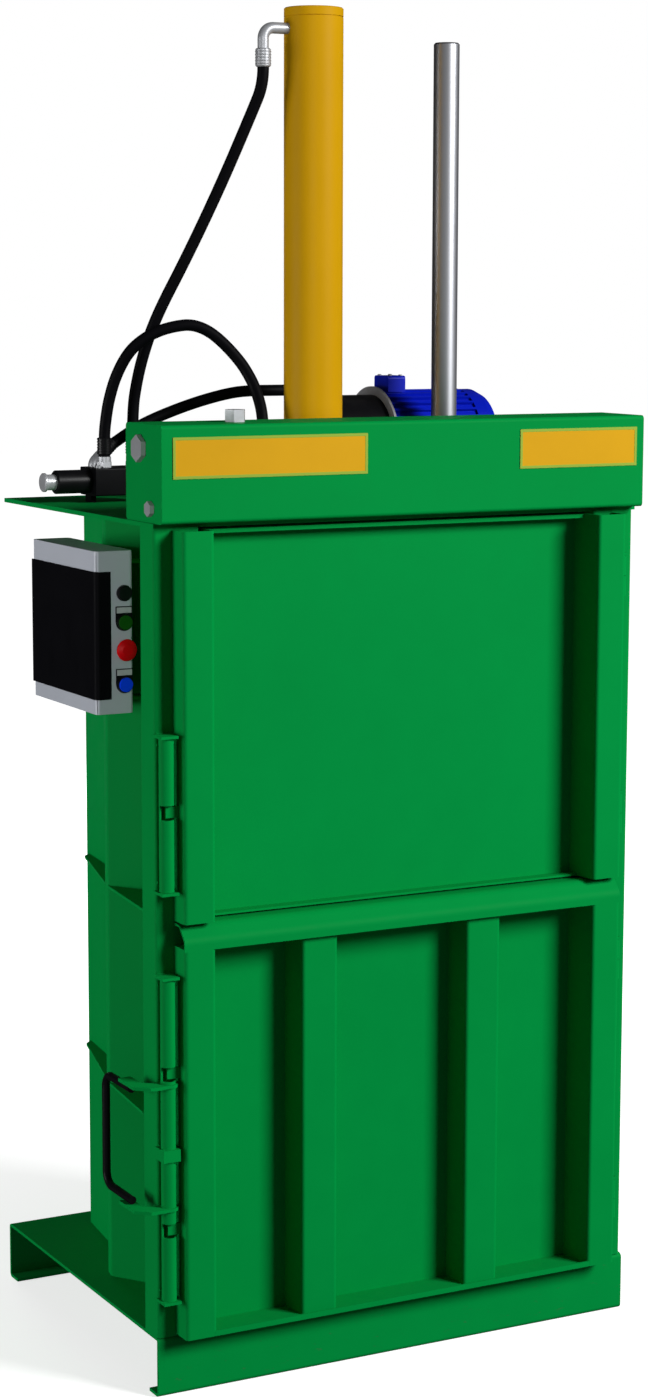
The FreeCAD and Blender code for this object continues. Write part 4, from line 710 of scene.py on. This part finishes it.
def crimp_tree():
    """Pressed rings repeated upwards from each point, as on a hose ferrule."""
    tree, inlet, outlet = geometry_tree("Ferrule Crimps", (
        ("Ribs", "NodeSocketInt", 5),
        ("Pitch", "NodeSocketFloat", 0.005),
        ("Ring Radius", "NodeSocketFloat", 0.0145),
        ("Rib Radius", "NodeSocketFloat", 0.0012),
        ("Finish", "NodeSocketMaterial", None),
    ))
    copies = add(tree, "GeometryNodeDuplicateElements", {
        "Geometry": inlet.outputs["Geometry"], "Amount": inlet.outputs["Ribs"],
    }, domain="POINT")
    lift = add(tree, "ShaderNodeCombineXYZ", {
        "Z": maths(tree, "MULTIPLY", copies.outputs["Duplicate Index"],
                   inlet.outputs["Pitch"])})
    moved = add(tree, "GeometryNodeSetPosition", {
        "Geometry": copies.outputs["Geometry"], "Offset": lift.outputs["Vector"]})
    rib = add(tree, "GeometryNodeCurveToMesh", {
        "Curve": hoop(tree, 40, inlet.outputs["Ring Radius"]),
        "Profile Curve": hoop(tree, 8, inlet.outputs["Rib Radius"])})
    smooth = add(tree, "GeometryNodeSetShadeSmooth", {"Geometry": rib.outputs["Mesh"]})
    seat = add(tree, "GeometryNodeInstanceOnPoints", {
        "Points": moved.outputs["Geometry"], "Instance": smooth.outputs["Geometry"]})
    return finish_tree(tree, inlet, outlet, seat.outputs["Instances"])


TREE_MAKERS = {
    "Paint Coat": coat_group, "Bare Metal": metal_group, "Moulded Skin": moulded_group,
    "Seated Hardware": seated_tree, "Weld Bead": bead_tree, "Ferrule Crimps": crimp_tree,
}


def tree_named(name):
    """A shared node tree, built the first time that it is asked for."""
    if name not in bpy.data.node_groups:
        TREE_MAKERS[name]()
    return bpy.data.node_groups[name]


def evaluated(name, source, tree_name, settings):
    """The source run through a geometry tree and kept as a plain mesh of its own."""
    tree = tree_named(tree_name)
    modifier = source.modifiers.new(tree_name, "NODES")
    modifier.node_group = tree
    for item in tree.interface.items_tree:
        if item.item_type == "SOCKET" and item.in_out == "INPUT" and item.name in settings:
            modifier[item.identifier] = settings[item.name]
    source.update_tag()
    bpy.context.view_layer.update()
    depsgraph = bpy.context.evaluated_depsgraph_get()
    data = bpy.data.meshes.new_from_object(source.evaluated_get(depsgraph),
                                           depsgraph=depsgraph)
    source.modifiers.remove(modifier)
    bpy.data.objects.remove(source)
    if not data.polygons:
        raise RuntimeError(f"{name}: the tree {tree_name} made no faces")
    data.name = name
    return scene_object(name, data)


def points_object(name, seats):
    """Loose points, each with the direction that its part faces."""
    data = bpy.data.meshes.new(name)
    data.from_pydata([tuple(point) for point, _ in seats], [], [])
    facing = data.attributes.new("facing", "FLOAT_VECTOR", "POINT")
    facing.data.foreach_set("vector", [c for _, way in seats for c in way])
    return scene_object(name, data)


def seams_object(name, seams):
    """Loose edges, one for each straight seam."""
    data = bpy.data.meshes.new(name)
    points = [tuple(point) for seam in seams for point in seam]
    data.from_pydata(points, [(2 * n, 2 * n + 1) for n in range(len(seams))], [])
    return scene_object(name, data)


def hold(piece):
    """Let a piece ride on the press frame."""
    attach(piece, "frame")


def seated(name, part, seats, material):
    """Copies of a small part on their seats, as one piece of the press frame."""
    piece = evaluated(name, points_object(f"{name}_seats", seats), "Seated Hardware",
                      {"Part": part, "Turn Seed": 11, "Finish": material})
    bpy.data.objects.remove(part)
    hold(piece)


def top_seats(node, inset, rear=True):
    """Seats near a node's top corners, or near the two at the front alone."""
    low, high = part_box(node)
    depths = (low.y + inset, high.y - inset) if rear else (low.y + inset,)
    return [(Vector((x, y, high.z - SEAT_DEPTH)), (0, 0, 1))
            for x in (low.x + inset, high.x - inset) for y in depths]


def hose_points(name):
    """The points of a hose's centreline, in metres in the frame's own place."""
    return [(Vector(point) + BASE_CORNER) * MM for point in HOSE_ROUTES[name][1]]


# ---------------------------------------------------------------- operators


class BALER_OT_hoses(bpy.types.Operator):
    """Make the three hydraulic hoses as smooth curves along their routes"""

    bl_idname = "baler.hoses"
    bl_label = "Hydraulic Hoses"

    def execute(self, context):
        rubber = moulded("Hose Rubber", (0.003, 0.003, 0.004), 0.5, 1400.0, 0.04)
        for name, (length, _) in HOSE_ROUTES.items():
            points = hose_points(name)
            curve = bpy.data.curves.new(f"{name}_line", "CURVE")
            curve.dimensions = "3D"
            curve.resolution_u = 16
            curve.bevel_depth = HOSE_RADIUS
            curve.bevel_resolution = 5
            curve.use_fill_caps = True
            spline = curve.splines.new("NURBS")
            spline.points.add(len(points) - 1)
            for point, place in zip(spline.points, points):
                point.co = (*place, 1.0)
            spline.order_u = 3
            spline.use_endpoint_u = True
            curve.materials.append(rubber)
            hose = scene_object(f"{name}_sleeve", curve)
            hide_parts(name)
            hold(hose)
        return {"FINISHED"}


class BALER_OT_green_steel(bpy.types.Operator):
    """Powder-coat the press frame, doors, latches and ram plate green"""

    bl_idname = "baler.green_steel"
    bl_label = "Green Steelwork"

    def execute(self, context):
        dress(green_coat(), *GREEN_NODES)
        return {"FINISHED"}


class BALER_OT_cylinder(bpy.types.Operator):
    """Finish the cylinder, its piston and rods, the large bolts and the hose ends"""

    bl_idname = "baler.cylinder"
    bl_label = "Cylinder and Rods"

    def execute(self, context):
        paint = context.scene.baler_paint
        dress(gloss_coat("Yellow Gloss", paint.barrel_yellow, 0.45, 0.05), "cylinder_barrel")
        dress(steel("Ground Steel", (0.44, 0.45, 0.48), 0.4, (160.0, 160.0, 3.0), 0.06, 0.05),
              "guide_rod")
        dress(steel("Hard Chrome", (0.62, 0.63, 0.65), 0.1, (60.0, 60.0, 1200.0), 0.05, 0.03),
              "piston_rod")
        dress(steel("Turned Steel", (0.40, 0.41, 0.43), 0.3, (40.0, 40.0, 700.0), 0.2, 0.2),
              "piston", "cylinder_gland")
        dress(zinc(), "hose_elbows", "cylinder_flange_bolts", "beam_bolts", "hose_ferrules")
        return {"FINISHED"}


class BALER_OT_ferrule_crimps(bpy.types.Operator):
    """Press rings into the two hose ferrules at the cylinder"""

    bl_idname = "baler.ferrule_crimps"
    bl_label = "Ferrule Crimps"

    def execute(self, context):
        hardware = context.scene.baler_hardware
        ferrules = islands("hose_ferrules")
        # The ferrules are alike. The rings lie from 0.16 to 0.82 of their height.
        low, high = ferrules[-1]
        tall, wide = high.z - low.z, high.x - low.x
        drop = Vector((0.0, 0.0, 0.34 * tall))
        seats = [((low + high) / 2 - drop, (0, 0, 1)) for low, high in ferrules]
        rings = evaluated("ferrule_crimp_rings", points_object("crimp_seats", seats),
                          "Ferrule Crimps", {
                              "Ribs": hardware.crimp_ribs,
                              "Pitch": 0.66 * tall / max(hardware.crimp_ribs - 1, 1),
                              "Ring Radius": wide / 2 - 0.2 * hardware.crimp_height,
                              "Rib Radius": 0.9 * hardware.crimp_height,
                              "Finish": zinc()})
        hold(rings)
        return {"FINISHED"}


class BALER_OT_hose_sleeves(bpy.types.Operator):
    """Put a pressed sleeve on each of the three hose ends at the valve"""

    bl_idname = "baler.hose_sleeves"
    bl_label = "Hose Sleeves"

    def execute(self, context):
        hardware = context.scene.baler_hardware
        from_end = 0.004
        seats = []
        for name, at_start in (("cylinder_top_hose", False), ("cylinder_foot_hose", True),
                               ("pump_hose", True)):
            points = hose_points(name)
            first, second = points[:2] if at_start else points[:-3:-1]
            way = (second - first).normalized()
            seats.append((first + from_end * way, tuple(way)))
        seated("hose_sleeves", crimp_sleeve(hardware.sleeve_radius, hardware.sleeve_length),
               seats, moulded("Sleeve Black", NEAR_BLACK, 0.35, 600.0, 0.2))
        return {"FINISHED"}


class BALER_OT_power_pack(bpy.types.Operator):
    """Paint the motor, cowl, tank and fan, and screw down the terminal box"""

    bl_idname = "baler.power_pack"
    bl_label = "Power Pack"

    def execute(self, context):
        paint = context.scene.baler_paint
        screw = context.scene.baler_hardware.screw_radius
        dress(gloss_coat("Blue Gloss", paint.motor_blue, 0.35, 0.12),
              "motor_housing", "fan_cowl", "terminal_box")
        dress(gloss_coat("Black Satin", NEAR_BLACK, 0.4, 0.08),
              "oil_tank", "valve_block", "handle_grip")
        dress(steel("Cast Aluminium", (0.27, 0.27, 0.28), 0.45, (120.0, 120.0, 120.0),
                    0.3, 0.3, 0.4), "pack_flange")
        dress(moulded("Fan Plastic", (0.02, 0.02, 0.022), 0.5), "motor_fan")
        seated("terminal_box_screws", pan_screw(screw), top_seats("terminal_box", 1.8 * screw),
               zinc())
        return {"FINISHED"}


class BALER_OT_valve(bpy.types.Operator):
    """Finish the hydraulic valve and add its cap screws"""

    bl_idname = "baler.valve"
    bl_label = "Valve"

    def execute(self, context):
        screw = context.scene.baler_hardware.cap_screw_radius
        dress(moulded("Coil Plastic", (0.005, 0.005, 0.006), 0.4, specular=0.15), "valve_coil")
        dress(steel("Knob Steel", (0.46, 0.47, 0.49), 0.32, (900.0, 60.0, 60.0),
                    0.2, 0.1, 0.45), "valve_knob")
        dress(zinc(), "valve_fittings")
        seated("valve_cap_screws", cap_screw(screw),
               top_seats("valve_block", 1.7 * screw, rear=False), zinc())
        return {"FINISHED"}


class BALER_OT_control_box(bpy.types.Operator):
    """Finish the control box, its cover, buttons and legend plates"""

    bl_idname = "baler.control_box"
    bl_label = "Control Box"

    def execute(self, context):
        grey = context.scene.baler_paint.box_grey
        dress(gloss_coat("Grey Satin", grey, 0.4, 0.35), "control_box")
        for node, name, colour, roughness, specular in (
            ("control_box_cover", "Cover Black", (0.003, 0.003, 0.004), 0.5, 0.02),
            ("button_bezels", "Bezel Black", NEAR_BLACK, 0.35, 0.2),
            ("contact_blocks", "Contact Plastic", (0.03, 0.03, 0.035), 0.5, 0.4),
            ("legend_plates", "Legend Black", NEAR_BLACK, 0.4, 0.1),
            ("black_button", "Button Black", NEAR_BLACK, 0.3, 0.2),
            ("green_button", "Button Green", (0.006, 0.075, 0.004), 0.3, 0.1),
            ("red_button", "Button Red", (0.56, 0.001, 0.004), 0.35, 0.1),
            ("blue_button", "Button Blue", (0.002, 0.05, 0.85), 0.3, 0.1),
        ):
            dress(moulded(name, colour, roughness, specular=specular), node)
        self.inserts(context.scene.baler_hardware.insert_height)
        return {"FINISHED"}

    def inserts(self, tall):
        """A bare pale insert in the upper part of each legend plate."""
        edge, proud, sunk, bevel = 0.0018, 0.0003, 0.0006, 0.0004
        sets = []
        for low, high in islands("legend_plates"):
            top = high.z - edge
            sides = low.x + edge, high.x - edge, top - tall, top
            sets.append([front_ring(sides, inset, low.y + depth) for inset, depth in (
                (0.0, sunk), (0.0, -0.5 * proud), (bevel, -proud))])
        piece = ringed(sets, "legend_inserts")
        piece.data.materials.append(
            moulded("Insert Silver", (0.42, 0.43, 0.45), 0.4, 1200.0, 0.3))
        bpy.data.collections[DETAIL_LIST].objects.link(piece)
        hold(piece)


class BALER_OT_plates(bpy.types.Operator):
    """Colour the two bare plates on the beam and put their raised borders on"""

    bl_idname = "baler.plates"
    bl_label = "Beam Plates"

    def execute(self, context):
        paint = context.scene.baler_paint
        width = context.scene.baler_hardware.rim_width
        dress(gloss_coat("Plate Field", paint.plate_yellow, 0.5, 0.06, 0.0), "label_plates")
        proud, sunk = 0.0004, 0.0005
        sets = []
        for low, high in islands("label_plates"):
            sides = low.x, high.x, low.z, high.z
            sets.append([front_ring(sides, inset, low.y + depth) for inset, depth in (
                (0.0, sunk), (0.0, -proud), (width, -proud), (width, sunk))])
        piece = ringed(sets, "plate_borders", capped=False)
        piece.data.materials.append(
            gloss_coat("Plate Edge", paint.plate_rim, 0.5, 0.06, 0.0))
        hold(piece)
        return {"FINISHED"}


class BALER_OT_welds(bpy.types.Operator):
    """Run weld beads where the brackets and the hinge knuckles meet their carriers"""

    bl_idname = "baler.welds"
    bl_label = "Weld Beads"

    def execute(self, context):
        hardware = context.scene.baler_hardware
        post_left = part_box("left_post")[0].x
        # How far a seam stops short of an edge.
        short, latch_short = 0.001, 0.003
        seams = []
        for low, high in islands("latch_brackets"):
            left = max(low.x, post_left) + latch_short
            for level in (low.z, high.z):
                seams.append(((left, high.y, level), (high.x, high.y, level)))
        for low, high in islands("post_knuckles"):
            seams.append(((high.x, high.y, low.z + short), (high.x, high.y, high.z - short)))
        for low, high in islands("control_box_brackets"):
            wall = high.x - short
            for level in (low.z, high.z):
                seams.append(((wall, low.y, level), (wall, high.y, level)))
        beads = evaluated("frame_weld_beads", seams_object("weld_seams", seams), "Weld Bead", {
            "Bead Radius": hardware.bead_radius, "Ripple Pitch": hardware.bead_pitch,
            "Ripple Depth": 0.16 * hardware.bead_radius, "Seed": 5, "Finish": green_coat(),
        })
        hold(beads)
        return {"FINISHED"}


class BALER_OT_stage(bpy.types.Operator):
    """Put the machine on a pale floor in soft light, seen from the left front"""

    bl_idname = "baler.stage"
    bl_label = "Stage"

    def execute(self, context):
        settings = context.scene.baler_stage
        self.floor(settings.backdrop)
        self.room(context.scene, settings.ambient, settings.backdrop)
        for name, place, target, size, power in LIGHTS:
            self.lamp(name, Vector(place), Vector(target), size, getattr(settings, power))
        bpy.data.objects["rear_light"].visible_glossy = False
        lit = bpy.data.collections.new(DETAIL_LIST)
        for node in DETAIL_NODES:
            lit.objects.link(NODES[node])
        bpy.data.objects["detail_light"].light_linking.receiver_collection = lit
        self.camera(context.scene, settings.lens)
        context.scene.view_settings.view_transform = "Standard"
        return {"FINISHED"}

    def floor(self, brightness):
        """A wide pale floor, nearly as white as the room and barely uneven."""
        reach, height, count = 30.0, -0.0004, 96
        mesh = bmesh.new()
        mesh.faces.new([mesh.verts.new(point) for point in circle_ring(reach, height, count)])
        piece = mesh_object("pale_floor", mesh)
        paper = finish_material(
            "Pale Floor", "Moulded Skin",
            {"Colour": (0.8, 0.8, 0.8, 1.0), "Grain Scale": 60.0, "Variation": 0.01,
             "Roughness": 0.9},
            (0.05, 0.0002), {"Specular IOR Level": 0.0, "Emission Strength": brightness})
        tree = paper.node_tree
        away = add(tree, "ShaderNodeVectorMath", {0: object_place(tree)}, operation="LENGTH")
        far = spread(tree, away.outputs["Value"], 1.0, 3.4, 0.0, 1.0)
        feed(tree, tree.nodes["Principled BSDF"].inputs["Emission Color"],
             mixed(tree, far, (0.7, 0.7, 0.7, 1.0), (1.0, 1.0, 1.0, 1.0)))
        piece.data.materials.append(paper)
        piece.visible_diffuse = False
        piece.visible_glossy = False

    def room(self, scene, ambient, backdrop):
        """A white room: soft light from all round, mirrored brighter in front than behind."""
        world = bpy.data.worlds.new("White Room")
        world.use_nodes = True
        tree = world.node_tree
        tree.nodes.clear()
        way = add(tree, "ShaderNodeSeparateXYZ", {
            "Vector": add(tree, "ShaderNodeTexCoord").outputs["Generated"]})
        ray = add(tree, "ShaderNodeLightPath")
        frontal = spread(tree, way.outputs["Y"], -0.9, 0.6, 0.42, 0.03)
        low = spread(tree, way.outputs["Z"], -0.2, 0.6, 1.0, 0.35)
        level = mixed_level(tree, ray.outputs["Is Glossy Ray"],
                            maths(tree, "MULTIPLY", low, ambient),
                            maths(tree, "MULTIPLY", frontal, low))
        light = add(tree, "ShaderNodeBackground", {
            "Color": (1.0, 1.0, 1.0, 1.0),
            "Strength": mixed_level(tree, ray.outputs["Is Camera Ray"], level, backdrop)})
        add(tree, "ShaderNodeOutputWorld", {"Surface": light.outputs["Background"]})
        scene.world = world

    def lamp(self, name, place, target, size, power):
        """A square soft light at a place, aimed at a target."""
        data = bpy.data.lights.new(name, "AREA")
        data.shape = "SQUARE"
        data.size = size
        data.energy = power
        lamp = scene_object(name, data)
        lamp.location = place
        lamp.rotation_euler = (target - place).to_track_quat("-Z", "Y").to_euler()

    def camera(self, scene, lens):
        """The camera at the left front, level with the upper part of the machine."""
        yaw, pitch, roll = CAMERA_TURN
        ahead = Vector((math.sin(yaw) * math.cos(pitch), math.cos(yaw) * math.cos(pitch),
                        -math.sin(pitch)))
        right = Vector((math.cos(yaw), -math.sin(yaw), 0.0))
        up = right.cross(ahead)
        side = math.cos(roll) * right + math.sin(roll) * up
        top = math.cos(roll) * up - math.sin(roll) * right
        data = bpy.data.cameras.new("baler_camera")
        data.lens = lens
        data.sensor_width = 36.0
        data.clip_end = 200.0
        camera = scene_object("baler_camera", data)
        turn = Matrix((side, top, -ahead)).transposed().to_4x4()
        camera.matrix_world = Matrix.Translation(CAMERA_PLACE) @ turn
        scene.camera = camera


class BALER_PT_panel(bpy.types.Panel):
    """The baler's sizes, colours and building steps in the sidebar"""

    bl_idname = "BALER_PT_panel"
    bl_label = "Recycling Baler"
    bl_space_type = "VIEW_3D"
    bl_region_type = "UI"
    bl_category = "Baler"

    def draw(self, context):
        layout = self.layout
        for group in ("baler_paint", "baler_hardware", "baler_stage"):
            box = layout.box()
            settings = getattr(context.scene, group)
            for name in settings.__annotations__:
                box.prop(settings, name)
        for operator in OPERATORS:
            layout.operator(operator.bl_idname)


OPERATORS = (
    BALER_OT_stage, BALER_OT_hoses, BALER_OT_green_steel, BALER_OT_cylinder,
    BALER_OT_ferrule_crimps, BALER_OT_hose_sleeves, BALER_OT_power_pack, BALER_OT_valve,
    BALER_OT_control_box, BALER_OT_plates, BALER_OT_welds,
)
CLASSES = (BalerPaint, BalerHardware, BalerStage, *OPERATORS, BALER_PT_panel)


def register():
    """Register the classes and give the scene their settings."""
    for item in CLASSES:
        bpy.utils.register_class(item)
    bpy.types.Scene.baler_paint = PointerProperty(type=BalerPaint)
    bpy.types.Scene.baler_hardware = PointerProperty(type=BalerHardware)
    bpy.types.Scene.baler_stage = PointerProperty(type=BalerStage)


def unregister():
    """Take the settings and the classes out again."""
    del bpy.types.Scene.baler_stage
    del bpy.types.Scene.baler_hardware
    del bpy.types.Scene.baler_paint
    for item in reversed(CLASSES):
        bpy.utils.unregister_class(item)


def main():
    """Build the whole scene."""
    register()
    for operator in OPERATORS:
        group, name = operator.bl_idname.split(".")
        getattr(getattr(bpy.ops, group), name)()


if __name__ == "__main__":
    main()
